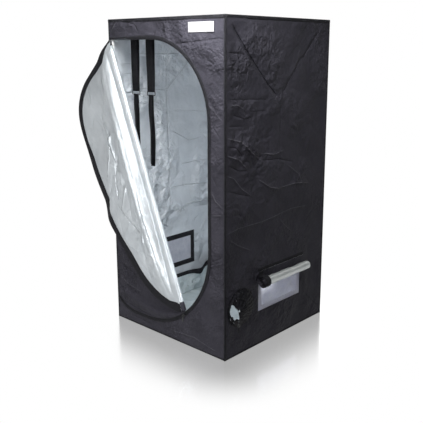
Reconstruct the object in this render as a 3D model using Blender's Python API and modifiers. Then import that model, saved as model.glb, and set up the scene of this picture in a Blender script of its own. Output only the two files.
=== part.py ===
"""Indoor grow tent, 80 x 80 x 160 cm: a cloth box on a push-fit tube frame, with its D-shaped door folded open.

Run with: blender --background --python part.py
Metres, +Z up, +X to the right of someone who faces the door, +Y to the back.
The origin is the middle of the underside of the floor panel.
"""

import math

import bmesh
import bpy
from mathutils import Matrix, Vector

# Whole tent
WIDTH = 0.8
DEPTH = 0.8
HEIGHT = 1.6
CLOTH = 0.001
SEAT = 0.0003

# Tube frame
POLE_RADIUS = 0.0095
POLE_WALL = 0.0008
SOCKET_WALL = 0.0025
SOCKET_REACH = 0.055
SOCKET_FLOOR = 0.014
SOCKET_RADIUS = POLE_RADIUS + SEAT + SOCKET_WALL
FRAME_INSET = CLOTH + SEAT + SOCKET_RADIUS
POST_X = WIDTH / 2 - FRAME_INSET
POST_Y = DEPTH / 2 - FRAME_INSET
TOP_RAIL_Z = HEIGHT - FRAME_INSET
FLOOR_RAIL_Z = FRAME_INSET
SWAGE_WIDTH = 0.003
SWAGE_DEPTH = 0.0004
POLE_SIDES = 16

# Ceiling crossbars
BAR_RADIUS = 0.008
BAR_WALL = 0.001
HOOK_WALL = 0.002
HOOK_WIDTH = 2 * BAR_RADIUS
HOOK_START = math.radians(-35)
HOOK_END = math.radians(215)
FRONT_BAR_FROM_FRONT = 0.10
REAR_BAR_FROM_BACK = 0.28
FRONT_BAR_Y = FRONT_BAR_FROM_FRONT - DEPTH / 2
REAR_BAR_Y = DEPTH / 2 - REAR_BAR_FROM_BACK

# Doorway, a D whose straight side is the front left corner of the tent
DOOR_LEFT_MARGIN = 0.015
DOOR_RIGHT_MARGIN = 0.102
DOOR_HEAD_MARGIN = 0.095
DOOR_BOTTOM = 0.07
DOOR_LEFT = DOOR_LEFT_MARGIN - WIDTH / 2
DOOR_RIGHT = WIDTH / 2 - DOOR_RIGHT_MARGIN
DOOR_TOP = HEIGHT - DOOR_HEAD_MARGIN
UPPER_RADIUS = 0.383
LOWER_RADIUS = 0.45
HEEL_PLACE_SHARE = 0.58
HEEL_RADIUS_SHARE = 1.48
HEEL_RUN = (DOOR_RIGHT - LOWER_RADIUS - DOOR_LEFT) * HEEL_PLACE_SHARE
HEEL_RADIUS = HEEL_RUN * HEEL_RADIUS_SHARE
HEEL_X = DOOR_LEFT + HEEL_RUN
FOLD_END_ANGLE = math.radians(-49.5)
ZIP_TAPE = 0.0008
ZIP_TAPE_OUT = 0.014
ZIP_TAPE_IN = 0.004
ZIP_EDGE_GAP = 0.0006

# Door flap, folded back along the line from the doorway's upper left corner
FLAP_CLOTH = 0.0008
FOLD_RADIUS = 0.012
CLOSED_STANDOFF = 0.0035
FLAP_TAPE_WIDTH = 0.018
FLAP_ROWS = 35
FLAP_BEND_STEPS = 4
FLAP_SHEET_STEPS = 11
FLAP_COLUMNS = FLAP_BEND_STEPS + FLAP_SHEET_STEPS + 1
WIDEST_TAPE_SHARE = 0.6
SHEET_SPACING = 1.4
FLAP_START_SHARE = 0.014
FLAP_END_SHARE = 0.985
RIDGE_PLACE = 0.075
RIDGE_HALF_WIDTH = 0.055
RIDGE_HEIGHT = 0.036
RIDGE_END = 0.12
BELLY_DEPTH = 0.009
BELLY_START = 0.08
BELLY_FULL = 0.30
CORNER_DEPTH = 0.031
CORNER_RUN = 0.055
WING_SWEEP_SHARE = 0.17
WING_FADE_START = 0.10
WING_FADE_END = 0.60

# Zip slider and its puller, on the lower right arc of the doorway
SLIDER_ANGLE = math.radians(-53)
SLIDER_LENGTH = 0.016
SLIDER_WIDTH = 0.012
SLIDER_HEIGHT = 0.0035
SLIDER_EDGE = 0.0008
BAIL_LENGTH = 0.013
BAIL_HEIGHT = 0.0055
BAIL_BAR = 0.002
BAIL_HANG = 0.0012
PULLER_LENGTH = 0.034
PULLER_THICKNESS = 0.0014
PULLER_BAND = 0.0016
PULLER_SIDE = 0.0018
PULLER_EYE_WIDTH = 0.0082
PULLER_EYE_HEIGHT = 0.0076
PULLER_EYE_SHIFT = 0.0011
PULLER_FOOT_WIDTH = 0.008

# Vent windows, the same in both side walls
WINDOW_FROM_FRONT = 0.245
WINDOW_FROM_BACK = 0.21
WINDOW_FRONT = WINDOW_FROM_FRONT - DEPTH / 2
WINDOW_REAR = DEPTH / 2 - WINDOW_FROM_BACK
WINDOW_SILL = 0.178
WINDOW_HEAD = 0.37
MESH_CLOTH = 0.0008
MESH_LAP = 0.006
BINDING_WIDTH = 0.030
BINDING_CLOTH = 0.001

# Window covers
COVER_CLOTH = 0.001
COVER_LAP = 0.017
COVER_SEAM_Z = 0.385
COVER_ROLL_RADIUS = 0.026
COVER_ROLL_PITCH = 0.008
COVER_ROLL_TURNS = 2.3
COVER_ROLL_Z = 0.337
COVER_ROLL_STEPS = 20
COVER_ROLL_SHIFT = 0.0125
TIE_WIDTH = 0.035
TIE_CLOTH = 0.0012
TIE_FROM_END = 0.004
TIE_DROP = 0.012

# Duct ports: the right wall's low cable port and the back wall's exhaust port
RIGHT_PORT_FROM_FRONT = 0.112
RIGHT_PORT_UP = 0.24
RIGHT_PORT_RADIUS = 0.088
RIGHT_MOUTH_HALF_WIDTH = 0.045
RIGHT_MOUTH_HALF_HEIGHT = 0.048
RIGHT_MOUTH_ALONG = -0.034
RIGHT_MOUTH_UP = 0.012
RIGHT_PORT_REACH = 0.030
RIGHT_TILT_SHARE = 0.6
BACK_PORT_FROM_SIDE = 0.20
BACK_PORT_FROM_TOP = 0.20
BACK_PORT_RADIUS = 0.100
BACK_MOUTH_RADIUS = 0.060
BACK_MOUTH_UP = -0.045
BACK_PORT_REACH = 0.150
PORT_STEP = math.radians(7.5)
SLEEVE_CLOTH = 0.0008
SLEEVE_PLEATS = 12
SLEEVE_POINTS = 48
SLEEVE_FLANGE = 0.008
CORD_RADIUS = 0.0014
CORD_GAP = 0.0004
CORD_SPREAD = 0.0026
CORD_TAIL = 0.062
CORD_TAIL_SHARES = (1, 0.75, 0.5, 0.3, 0.2, 0.12)
CORD_PARTING = math.radians(60)
LOCK_DROP = 0.014
LOCK_LENGTH = 0.018
LOCK_WIDTH = 0.014
LOCK_DEPTH = 0.011
LOCK_BORE_RADIUS = 0.0040
LOCK_BORE_DEPTH = 0.0035
LOCK_BUTTON_PROUD = 0.0045
LOCK_BUTTON_GAP = 0.0003

# Hanging straps on the front crossbar
STRAP_A_FROM_SIDE = 0.085
STRAP_A_FRONT_TAIL = 0.365
STRAP_A_REAR_TAIL = 0.325
STRAP_B_FROM_SIDE = 0.202
STRAP_B_FRONT_TAIL = 0.355
STRAP_B_REAR_TAIL = 0.365
STRAP_WIDTH = 0.050
STRAP_CLOTH = 0.0014
STRAP_DROP = 0.342
RING_WIRE = 0.002
RING_WIDTH = 0.058
RING_HEIGHT = 0.020
RING_CORNER = 0.005
TAIL_WIDTH = 0.025
TAIL_SLACK = 0.004
FRONT_TAIL_SHARES = (1, 0.8, 0.6, 0.4, 0.2, 0.06)
FRONT_TAIL_WAVES = 1.5
REAR_TAIL_SHARES = (0.06, 0.25, 0.5, 0.75, 1)

# Floor tray
TRAY_GAP = 0.003
TRAY_HEIGHT = 0.128
TRAY_CLOTH = 0.001

ARC_STEP = math.radians(5)
CUT_OVERRUN = 0.004
MERGE = 0.00001

# Planes for flat outlines: where an outline's own x and y axes point
FRONT_PLANE = (math.pi / 2, 0, 0)
SIDE_PLANE = (math.pi / 2, 0, math.pi / 2)
BACK_PLANE = (math.pi / 2, 0, math.pi)


def clear_scene():
    """Removes what the startup file holds."""
    for obj in list(bpy.data.objects):
        bpy.data.objects.remove(obj, do_unlink=True)


def new_collection(name):
    collection = bpy.data.collections.new(name)
    bpy.context.scene.collection.children.link(collection)
    return collection


def new_material(name, colour, roughness, metallic=0.0):
    material = bpy.data.materials.new(name)
    material.use_nodes = True
    shader = material.node_tree.nodes["Principled BSDF"]
    shader.inputs["Base Color"].default_value = (*colour, 1.0)
    shader.inputs["Roughness"].default_value = roughness
    shader.inputs["Metallic"].default_value = metallic
    return material


clear_scene()
TENT = new_collection("grow_tent")
CUTTERS = new_collection("cutters")

BLACK_CLOTH = new_material("black_oxford_cloth", (0.030, 0.029, 0.034), 0.62)
SILVER_FILM = new_material("silver_film", (0.62, 0.64, 0.66), 0.34, 0.6)
BLACK_TAPE = new_material("black_tape", (0.012, 0.012, 0.014), 0.75)
STEEL = new_material("powder_coated_steel", (0.72, 0.73, 0.74), 0.40, 0.5)
BLACK_PLASTIC = new_material("black_plastic", (0.020, 0.020, 0.021), 0.38)
PALE_MESH = new_material("insect_mesh", (0.55, 0.56, 0.62), 0.60)
WEBBING = new_material("webbing", (0.008, 0.008, 0.010), 0.80)
WIRE = new_material("nickel_wire", (0.60, 0.60, 0.61), 0.25, 1.0)


def place(name, data, material, collection=None):
    """Links a new object with that mesh or curve, in the tent's collection."""
    obj = bpy.data.objects.new(name, data)
    (collection or TENT).objects.link(obj)
    if material is not None:
        data.materials.append(material)
    return obj


def mesh_from(name, bm, smooth=False):
    """Turns a bmesh into a mesh with its faces pointing out."""
    bmesh.ops.recalc_face_normals(bm, faces=bm.faces)
    mesh = bpy.data.meshes.new(name)
    bm.to_mesh(mesh)
    bm.free()
    if smooth:
        mesh.shade_smooth()
    return mesh


def box(name, low, high, material, collection=None):
    """A block between two opposite corners."""
    size = Vector(high) - Vector(low)
    centre = (Vector(high) + Vector(low)) / 2
    bm = bmesh.new()
    bmesh.ops.create_cube(bm, size=1, matrix=Matrix.Translation(centre) @ Matrix.Diagonal((*size, 1)))
    return place(name, mesh_from(name, bm), material, collection)


def rod(name, radius, length, material, sides=POLE_SIDES, collection=None):
    """A round bar along its own z axis, centred on its origin."""
    bm = bmesh.new()
    bmesh.ops.create_cone(bm, cap_ends=True, segments=sides, radius1=radius, radius2=radius, depth=length)
    return place(name, mesh_from(name, bm), material, collection)


def turned(name, profile, material, steps=POLE_SIDES):
    """A closed profile of (radius, height) points turned about z; it runs down its outer side."""
    mesh = bpy.data.meshes.new(name)
    count = len(profile)
    edges = [(i, (i + 1) % count) for i in range(count)]
    mesh.from_pydata([(radius, 0, height) for radius, height in profile], edges, [])
    obj = place(name, mesh, material)
    screw = obj.modifiers.new("turn", "SCREW")
    screw.axis = "Z"
    screw.angle = 2 * math.pi
    screw.steps = steps
    screw.render_steps = steps
    screw.use_merge_vertices = True
    screw.merge_threshold = MERGE
    screw.use_smooth_shade = True
    return obj


def plate(name, loops, thickness, plane, middle, material, collection=None):
    """Flat outlines filled and given a thickness; the second and later loops are holes."""
    curve = bpy.data.curves.new(name, "CURVE")
    curve.dimensions = "2D"
    curve.fill_mode = "BOTH"
    curve.extrude = thickness / 2
    for loop in loops:
        spline = curve.splines.new("POLY")
        spline.points.add(len(loop) - 1)
        for point, (x, y) in zip(spline.points, loop):
            point.co = (x, y, 0, 1)
        spline.use_cyclic_u = True
    obj = place(name, curve, material, collection)
    obj.rotation_euler = plane
    obj.location = middle
    return obj


def wire(name, points, radius, material, cyclic=False):
    """A round tube along points in 3-D."""
    curve = bpy.data.curves.new(name, "CURVE")
    curve.dimensions = "3D"
    curve.bevel_depth = radius
    curve.bevel_resolution = 2
    curve.use_fill_caps = not cyclic
    spline = curve.splines.new("POLY")
    spline.points.add(len(points) - 1)
    for point, place_of in zip(spline.points, points):
        point.co = (*place_of, 1)
    spline.use_cyclic_u = cyclic
    return place(name, curve, material)


def as_mesh(obj):
    """The curve object made a mesh object, its caps welded, under the same name."""
    bpy.context.view_layer.update()
    graph = bpy.context.evaluated_depsgraph_get()
    mesh = bpy.data.meshes.new_from_object(obj.evaluated_get(graph))
    bm = bmesh.new()
    bm.from_mesh(mesh)
    bmesh.ops.remove_doubles(bm, verts=bm.verts, dist=MERGE)
    bmesh.ops.recalc_face_normals(bm, faces=bm.faces)
    bm.to_mesh(mesh)
    bm.free()
    name, world, collection = obj.name, obj.matrix_world.copy(), obj.users_collection[0]
    bpy.data.objects.remove(obj)
    made = bpy.data.objects.new(name, mesh)
    collection.objects.link(made)
    made.matrix_world = world
    return made


def combine(obj, other, operation):
    """Adds a Boolean of the other object, which becomes a helper that isn't rendered."""
    other.hide_render = True
    other.display_type = "WIRE"
    for collection in list(other.users_collection):
        collection.objects.unlink(other)
    CUTTERS.objects.link(other)
    boolean = obj.modifiers.new(operation.lower() + "_" + other.name, "BOOLEAN")
    boolean.operation = operation
    boolean.object = other


def solidify(obj, thickness, square=False):
    """Gives an open sheet its wall, half to each side; a square one keeps the same wall round its corners."""
    wall = obj.modifiers.new("wall", "SOLIDIFY")
    wall.thickness = thickness
    wall.offset = 0
    wall.use_even_offset = square
    return obj


def bevel(obj, width, segments=2):
    edge = obj.modifiers.new("edge", "BEVEL")
    edge.width = width
    edge.segments = segments
    edge.limit_method = "ANGLE"
    return obj


def pivot(name, location, *pieces):
    """An empty on a joint's axis that carries the pieces which move about it."""
    empty = bpy.data.objects.new(name, None)
    TENT.objects.link(empty)
    empty.location = location
    bpy.context.view_layer.update()
    for piece in pieces:
        piece.parent = empty
        piece.matrix_parent_inverse = empty.matrix_world.inverted()
    return empty


def arc(centre, radius, start, end, step=ARC_STEP):
    """Points on an arc in a flat outline, both ends included."""
    count = max(2, math.ceil(abs(end - start) / step) + 1)
    turns = [start + (end - start) * i / (count - 1) for i in range(count)]
    return [(centre[0] + radius * math.cos(a), centre[1] + radius * math.sin(a)) for a in turns]


def rectangle(low, high):
    return [(low[0], low[1]), (high[0], low[1]), (high[0], high[1]), (low[0], high[1])]


def strip_outline(path, thickness):
    """The closed outline of a strip whose middle follows a flat path."""
    points = [Vector(point) for point in path]
    near, far = [], []
    for i, point in enumerate(points):
        along = (points[min(i + 1, len(points) - 1)] - points[max(i - 1, 0)]).normalized()
        side = Vector((-along.y, along.x)) * thickness / 2
        near.append(tuple(point + side))
        far.append(tuple(point - side))
    return near + far[::-1]


def smooth_step(value, low, high):
    """0 below low, 1 above high, and an even S between them."""
    share = min(1, max(0, (value - low) / (high - low)))
    return share * share * (3 - 2 * share)


# The doorway's outline and the fold across it

UPPER_CENTRE = (DOOR_RIGHT - UPPER_RADIUS, DOOR_TOP - UPPER_RADIUS)
LOWER_CENTRE = (DOOR_RIGHT - LOWER_RADIUS, DOOR_BOTTOM + LOWER_RADIUS)
HEEL_CENTRE = (HEEL_X, DOOR_BOTTOM + HEEL_RADIUS)
FOLD_TOP = Vector((DOOR_LEFT, DOOR_TOP))
FOLD_FOOT = Vector(
    (
        LOWER_CENTRE[0] + LOWER_RADIUS * math.cos(FOLD_END_ANGLE),
        LOWER_CENTRE[1] + LOWER_RADIUS * math.sin(FOLD_END_ANGLE),
    )
)
FOLD_LENGTH = (FOLD_FOOT - FOLD_TOP).length
FOLD_ALONG = (FOLD_FOOT - FOLD_TOP).normalized()
FOLD_ACROSS = Vector((-FOLD_ALONG.y, FOLD_ALONG.x))
FOLD_AXIS_Y = -DEPTH / 2 - CLOSED_STANDOFF - FOLD_RADIUS
FLAP_Y = FOLD_AXIS_Y - FOLD_RADIUS


def heel_end(offset):
    """The angle at which the heel's arc meets the straight left side."""
    return math.acos((HEEL_X - DOOR_LEFT) / (HEEL_RADIUS + offset)) - math.pi


def door_path(offset):
    """The doorway's zipped edge from its upper left end round to its lower left end, moved outwards."""
    return (
        [(DOOR_LEFT, DOOR_TOP + offset)]
        + arc(UPPER_CENTRE, UPPER_RADIUS + offset, math.pi / 2, 0)
        + arc(LOWER_CENTRE, LOWER_RADIUS + offset, 0, FOLD_END_ANGLE)[:-1]
        + arc(LOWER_CENTRE, LOWER_RADIUS + offset, FOLD_END_ANGLE, -math.pi / 2)
        + arc(HEEL_CENTRE, HEEL_RADIUS + offset, -math.pi / 2, heel_end(offset))
    )


def open_edge_point(share, inset):
    """A point of the flap's free edge when shut, by its share of the way from the fold's top to its foot."""
    runs = (
        UPPER_CENTRE[0] - DOOR_LEFT,
        UPPER_RADIUS * math.pi / 2,
        UPPER_CENTRE[1] - LOWER_CENTRE[1],
        -LOWER_RADIUS * FOLD_END_ANGLE,
    )
    way = share * sum(runs)
    if way < runs[0]:
        return Vector((DOOR_LEFT + way, DOOR_TOP - inset))
    way -= runs[0]
    if way < runs[1]:
        turn = math.pi / 2 - way / UPPER_RADIUS
        reach = UPPER_RADIUS - inset
        return Vector(UPPER_CENTRE) + reach * Vector((math.cos(turn), math.sin(turn)))
    way -= runs[1]
    if way < runs[2]:
        return Vector((DOOR_RIGHT - inset, UPPER_CENTRE[1] - way))
    turn = -(way - runs[2]) / LOWER_RADIUS
    reach = LOWER_RADIUS - inset
    return Vector(LOWER_CENTRE) + reach * Vector((math.cos(turn), math.sin(turn)))


def flap_depth(point):
    """How far the folded flap stands behind its own flat plane at a point (x, z)."""
    rel = point - FOLD_TOP
    along = rel.dot(FOLD_ALONG)
    out = -rel.dot(FOLD_ACROSS)
    reach = max(0, -WIDTH / 2 - point.x)
    wing = CORNER_DEPTH * smooth_step(reach, 0, CORNER_RUN)
    wing += WING_SWEEP_SHARE * reach * smooth_step(along, WING_FADE_START, WING_FADE_END)
    ridge_run = min(1, max(0, (along - RIDGE_END) / (FOLD_LENGTH - 2 * RIDGE_END)))
    off_ridge = min(1, abs(out - RIDGE_PLACE) / RIDGE_HALF_WIDTH)
    ridge = RIDGE_HEIGHT * math.sin(math.pi * ridge_run) * math.cos(math.pi / 2 * off_ridge) ** 2
    return wing - ridge


def flap_point(row_share, column):
    """A point of the folded flap; the first columns turn the bend, the rest cross the sheet to its edge."""
    share = FLAP_START_SHARE + (FLAP_END_SHARE - FLAP_START_SHARE) * row_share
    edge = open_edge_point(share, ZIP_EDGE_GAP)
    rel = edge - FOLD_TOP
    foot = FOLD_TOP + FOLD_ALONG * rel.dot(FOLD_ALONG)
    out = rel.dot(FOLD_ACROSS)
    if column < FLAP_BEND_STEPS:
        turn = math.pi * (1 - column / FLAP_BEND_STEPS)
        seat = CLOSED_STANDOFF - SEAT - FLAP_CLOTH / 2
        radius = FOLD_RADIUS + seat * turn / math.pi
        flat = foot + FOLD_ACROSS * radius * math.sin(turn)
        return Vector((flat.x, FOLD_AXIS_Y - radius * math.cos(turn), flat.y))
    reach, belly = out, 0
    if column < FLAP_COLUMNS - 1:
        outward = open_edge_point(share, 0) - open_edge_point(share, 1)
        band = min(FLAP_TAPE_WIDTH / outward.dot(FOLD_ACROSS), out * WIDEST_TAPE_SHARE)
        across = ((column - FLAP_BEND_STEPS) / (FLAP_SHEET_STEPS - 1)) ** SHEET_SPACING
        reach = (out - band) * across
        belly = BELLY_DEPTH * smooth_step(out, BELLY_START, BELLY_FULL) * math.sin(math.pi * across)
    flat = foot - FOLD_ACROSS * reach
    return Vector((flat.x, FLAP_Y + flap_depth(flat) - belly, flat.y))


def grid_sheet(name, rows, columns, point_of, material):
    """A grid shaped by a formula of its row share and its column number."""
    bm = bmesh.new()
    bmesh.ops.create_grid(bm, x_segments=rows - 1, y_segments=columns - 1, size=1)
    for vert in bm.verts:
        row_share = (vert.co.x + 1) / 2
        column = round((vert.co.y + 1) / 2 * (columns - 1))
        vert.co = point_of(row_share, column)
    return place(name, mesh_from(name, bm, smooth=True), material)


# Cloth shell


def shell():
    """Roof, floor and four walls, each a flat panel that meets its neighbours at the corners."""
    side = WIDTH / 2
    end = DEPTH / 2
    box("roof_panel", (-side, -end, HEIGHT - CLOTH), (side, end, HEIGHT), BLACK_CLOTH)
    box("floor_panel", (-side, -end, 0), (side, end, CLOTH), BLACK_CLOTH)
    low = CLOTH + SEAT
    high = HEIGHT - CLOTH - SEAT
    front = [rectangle((-side, low), (side, high)), door_path(0)]
    plate("front_panel", front, CLOTH, FRONT_PLANE, (0, -end + CLOTH / 2, 0), BLACK_CLOTH)
    back = [rectangle((-side, low), (side, high)), port_hole(BACK_PORT)]
    plate("back_wall", back, CLOTH, BACK_PLANE, (0, end - CLOTH / 2, 0), BLACK_CLOTH)
    run = end - CLOTH - SEAT
    window = rectangle((WINDOW_FRONT, WINDOW_SILL), (WINDOW_REAR, WINDOW_HEAD))
    left = [rectangle((-run, low), (run, high)), window]
    plate("left_wall", left, CLOTH, SIDE_PLANE, (-side + CLOTH / 2, 0, 0), BLACK_CLOTH)
    right = left + [port_hole(RIGHT_PORT)]
    plate("right_wall", right, CLOTH, SIDE_PLANE, (side - CLOTH / 2, 0, 0), BLACK_CLOTH)


# Frame


def pole(name, length, material=STEEL, jointed=False):
    """A tube along its own z axis; a jointed one shows the step where its two lengths push together."""
    outer = POLE_RADIUS
    inner = POLE_RADIUS - POLE_WALL
    half = length / 2
    profile = [(outer, half)]
    if jointed:
        profile += [
            (outer, SWAGE_WIDTH / 2),
            (outer - SWAGE_DEPTH, SWAGE_WIDTH / 2),
            (outer - SWAGE_DEPTH, -SWAGE_WIDTH / 2),
            (outer, -SWAGE_WIDTH / 2),
        ]
    profile += [(outer, -half), (inner, -half), (inner, half)]
    return turned(name, profile, material)


def frame():
    """Posts and rails between the corner connectors."""
    butt = 2 * (SOCKET_FLOOR + SEAT)
    sides = (("left", -1), ("right", 1))
    ends = (("front", -1), ("rear", 1))
    for side_name, side in sides:
        for end_name, end in ends:
            post = pole(f"post_{end_name}_{side_name}", TOP_RAIL_Z - FLOOR_RAIL_Z - butt, jointed=True)
            post.location = (side * POST_X, end * POST_Y, (TOP_RAIL_Z + FLOOR_RAIL_Z) / 2)
    for level, height in (("top", TOP_RAIL_Z), ("floor", FLOOR_RAIL_Z)):
        for end_name, end in ends:
            rail = pole(f"{level}_rail_{end_name}", 2 * POST_X - butt)
            rail.rotation_euler = (0, math.pi / 2, 0)
            rail.location = (0, end * POST_Y, height)
        for side_name, side in sides:
            rail = pole(f"{level}_rail_{side_name}", 2 * POST_Y - butt)
            rail.rotation_euler = (math.pi / 2, 0, 0)
            rail.location = (side * POST_X, 0, height)


def connector_mesh():
    """A three-way moulded corner: three sockets along +x, +y and +z from a round hub."""
    bm = bmesh.new()
    bmesh.ops.create_uvsphere(bm, u_segments=POLE_SIDES, v_segments=POLE_SIDES // 2, radius=SOCKET_RADIUS)
    hub = place("connector_hub", mesh_from("connector_hub", bm), BLACK_PLASTIC)
    turns = (("z", (0, 0, 0)), ("x", (0, math.pi / 2, 0)), ("y", (-math.pi / 2, 0, 0)))
    directions = {"x": Vector((1, 0, 0)), "y": Vector((0, 1, 0)), "z": Vector((0, 0, 1))}
    for axis, turn in turns:
        arm = rod(f"connector_arm_{axis}", SOCKET_RADIUS, SOCKET_REACH, BLACK_PLASTIC)
        arm.rotation_euler = turn
        arm.location = directions[axis] * SOCKET_REACH / 2
        combine(hub, arm, "UNION")
    for axis, turn in turns:
        depth = SOCKET_REACH - SOCKET_FLOOR + CUT_OVERRUN
        bore = rod(f"connector_bore_{axis}", POLE_RADIUS + SEAT, depth, None)
        bore.rotation_euler = turn
        bore.location = directions[axis] * (SOCKET_FLOOR + depth / 2)
        combine(hub, bore, "DIFFERENCE")
    bpy.context.view_layer.update()
    graph = bpy.context.evaluated_depsgraph_get()
    mesh = bpy.data.meshes.new_from_object(hub.evaluated_get(graph))
    mesh.name = "corner_connector"
    bpy.data.objects.remove(hub)
    return mesh


def connectors():
    """Eight copies of the corner, each turned so that its sockets face into the frame."""
    mesh = connector_mesh()
    corners = (("front_left", 0), ("front_right", 1), ("rear_right", 2), ("rear_left", 3))
    for name, quarter in corners:
        x = POST_X if "right" in name else -POST_X
        y = POST_Y if "rear" in name else -POST_Y
        low = place(f"floor_corner_{name}", mesh, None)
        low.rotation_euler = (0, 0, quarter * math.pi / 2)
        low.location = (x, y, FLOOR_RAIL_Z)
        high = place(f"top_corner_{name}", mesh, None)
        high.rotation_euler = (math.pi, 0, (quarter + 1) * math.pi / 2)
        high.location = (x, y, TOP_RAIL_Z)


def crossbar(name, y):
    """A tube from side rail to side rail, with a hook at each end that drops over the rail."""
    grip = POLE_RADIUS + SEAT
    reach = POST_X - grip - HOOK_WALL / 2
    bar = turned(
        name,
        [
            (BAR_RADIUS, reach),
            (BAR_RADIUS, -reach),
            (BAR_RADIUS - BAR_WALL, -reach),
            (BAR_RADIUS - BAR_WALL, reach),
        ],
        STEEL,
    )
    bar.rotation_euler = (0, math.pi / 2, 0)
    bar.location = (0, y, TOP_RAIL_Z)
    for side_name, side in (("left", -1), ("right", 1)):
        inner = arc((0, 0), grip, HOOK_START, HOOK_END, 2 * ARC_STEP)
        outer = arc((0, 0), grip + HOOK_WALL, HOOK_START, HOOK_END, 2 * ARC_STEP)
        outline = [(side * x + side * POST_X, z + TOP_RAIL_Z) for x, z in inner + outer[::-1]]
        hook_name = f"{name}_hook_{side_name}"
        hook = plate(hook_name, [outline], HOOK_WIDTH, FRONT_PLANE, (0, y, 0), STEEL)
        combine(bar, as_mesh(hook), "UNION")
    pivot(name + "_slide_axis", (0, y, TOP_RAIL_Z), bar)


# Door


def sewn_panel():
    """The lower left part of the door, still zipped in, from the fold to the tent's corner seam."""
    lower = arc(LOWER_CENTRE, LOWER_RADIUS - ZIP_EDGE_GAP, FOLD_END_ANGLE, -math.pi / 2)
    heel_radius = HEEL_RADIUS - ZIP_EDGE_GAP
    heel = arc(HEEL_CENTRE, heel_radius, -math.pi / 2, heel_end(-ZIP_EDGE_GAP))
    left = DOOR_LEFT + ZIP_EDGE_GAP
    outline = [(left, DOOR_TOP - 2 * ZIP_EDGE_GAP)] + lower + heel[:-1] + [(left, heel[-1][1] + ZIP_EDGE_GAP)]
    plate("door_sewn_panel", [outline], CLOTH, FRONT_PLANE, (0, -DEPTH / 2 + CLOTH / 2, 0), BLACK_CLOTH)


def frame_zip_tape():
    """The zip's tape and rain binding on the front panel, along the whole zipped edge."""
    outline = door_path(ZIP_TAPE_OUT) + door_path(-ZIP_TAPE_IN)[::-1]
    middle = -DEPTH / 2 - SEAT - ZIP_TAPE / 2
    plate("zip_tape_frame", [outline], ZIP_TAPE, FRONT_PLANE, (0, middle, 0), BLACK_TAPE)


def flap():
    """The open part of the door, folded back over the sewn part and round the tent's corner."""
    sheet = grid_sheet("door_flap", FLAP_ROWS, FLAP_COLUMNS, flap_point, SILVER_FILM)
    solidify(sheet, FLAP_CLOTH)
    lift = Vector((0, -FLAP_CLOTH / 2 - ZIP_TAPE / 2 - 2 * SEAT, 0))

    def tape_point(row_share, column):
        return flap_point(row_share, FLAP_COLUMNS - 2 + column) + lift

    tape = grid_sheet("zip_tape_flap", FLAP_ROWS, 2, tape_point, BLACK_TAPE)
    solidify(tape, ZIP_TAPE)
    pivot("door_fold_axis", (FOLD_TOP.x, FOLD_AXIS_Y, FOLD_TOP.y), sheet, tape)


def zip_slider():
    """The slider on the doorway's lower right arc, and the puller that hangs from its bail."""
    back = SEAT + ZIP_TAPE + SEAT
    middle_radius = LOWER_RADIUS + SLIDER_EDGE + SLIDER_WIDTH / 2
    centre = Vector(
        (
            LOWER_CENTRE[0] + middle_radius * math.cos(SLIDER_ANGLE),
            -DEPTH / 2 - back,
            LOWER_CENTRE[1] + middle_radius * math.sin(SLIDER_ANGLE),
        )
    )
    tilt = -(SLIDER_ANGLE + math.pi / 2)
    half = SLIDER_LENGTH / 2
    body = box(
        "zip_slider",
        (-half, -SLIDER_HEIGHT, -SLIDER_WIDTH / 2),
        (half, 0, SLIDER_WIDTH / 2),
        BLACK_PLASTIC,
    )
    body.rotation_euler = (0, tilt, 0)
    body.location = centre
    run = BAIL_LENGTH / 2
    legs = rectangle((-run, 0), (run, SLIDER_HEIGHT / 2 + BAIL_HEIGHT))
    eye = rectangle((-run + BAIL_BAR, 0), (run - BAIL_BAR, SLIDER_HEIGHT / 2 + BAIL_HEIGHT - BAIL_BAR))
    outline = [legs[0], eye[0], eye[3], eye[2], eye[1], legs[1], legs[2], legs[3]]
    bail = plate("zip_slider_bail", [outline], BAIL_BAR, (math.pi, 0, 0), (0, 0, 0), BLACK_PLASTIC)
    root = Matrix.Translation(centre) @ Matrix.Rotation(tilt, 4, "Y")
    bail.matrix_world = root @ Matrix.Translation((0, -SLIDER_HEIGHT / 2, 0)) @ Matrix.Rotation(math.pi, 4, "X")
    combine(body, as_mesh(bail), "UNION")
    under = BAIL_HEIGHT - BAIL_BAR
    hang = root @ Vector((-BAIL_HANG, -SLIDER_HEIGHT - under / 2, 0))
    brow = PULLER_BAND / 2
    side = PULLER_EYE_WIDTH / 2
    shoulder = side + PULLER_SIDE
    sill = -brow - PULLER_EYE_HEIGHT
    half_foot = PULLER_FOOT_WIDTH / 2
    outline = [(-shoulder, sill - PULLER_SIDE), (-shoulder, brow), (shoulder, brow), (shoulder, sill - PULLER_SIDE)]
    outline += arc((0, half_foot - PULLER_LENGTH), half_foot, 0, -math.pi, 3 * ARC_STEP)
    eye = rectangle((-side, sill), (side, -brow))
    puller = plate("zip_puller", [outline, eye], PULLER_THICKNESS, FRONT_PLANE, hang, BLACK_PLASTIC)
    puller.location.x -= PULLER_EYE_SHIFT
    pivot("zip_run_axis", (LOWER_CENTRE[0], centre.y, LOWER_CENTRE[1]), body)
    pivot("puller_swing_axis", hang, puller)


# Vent windows


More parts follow.
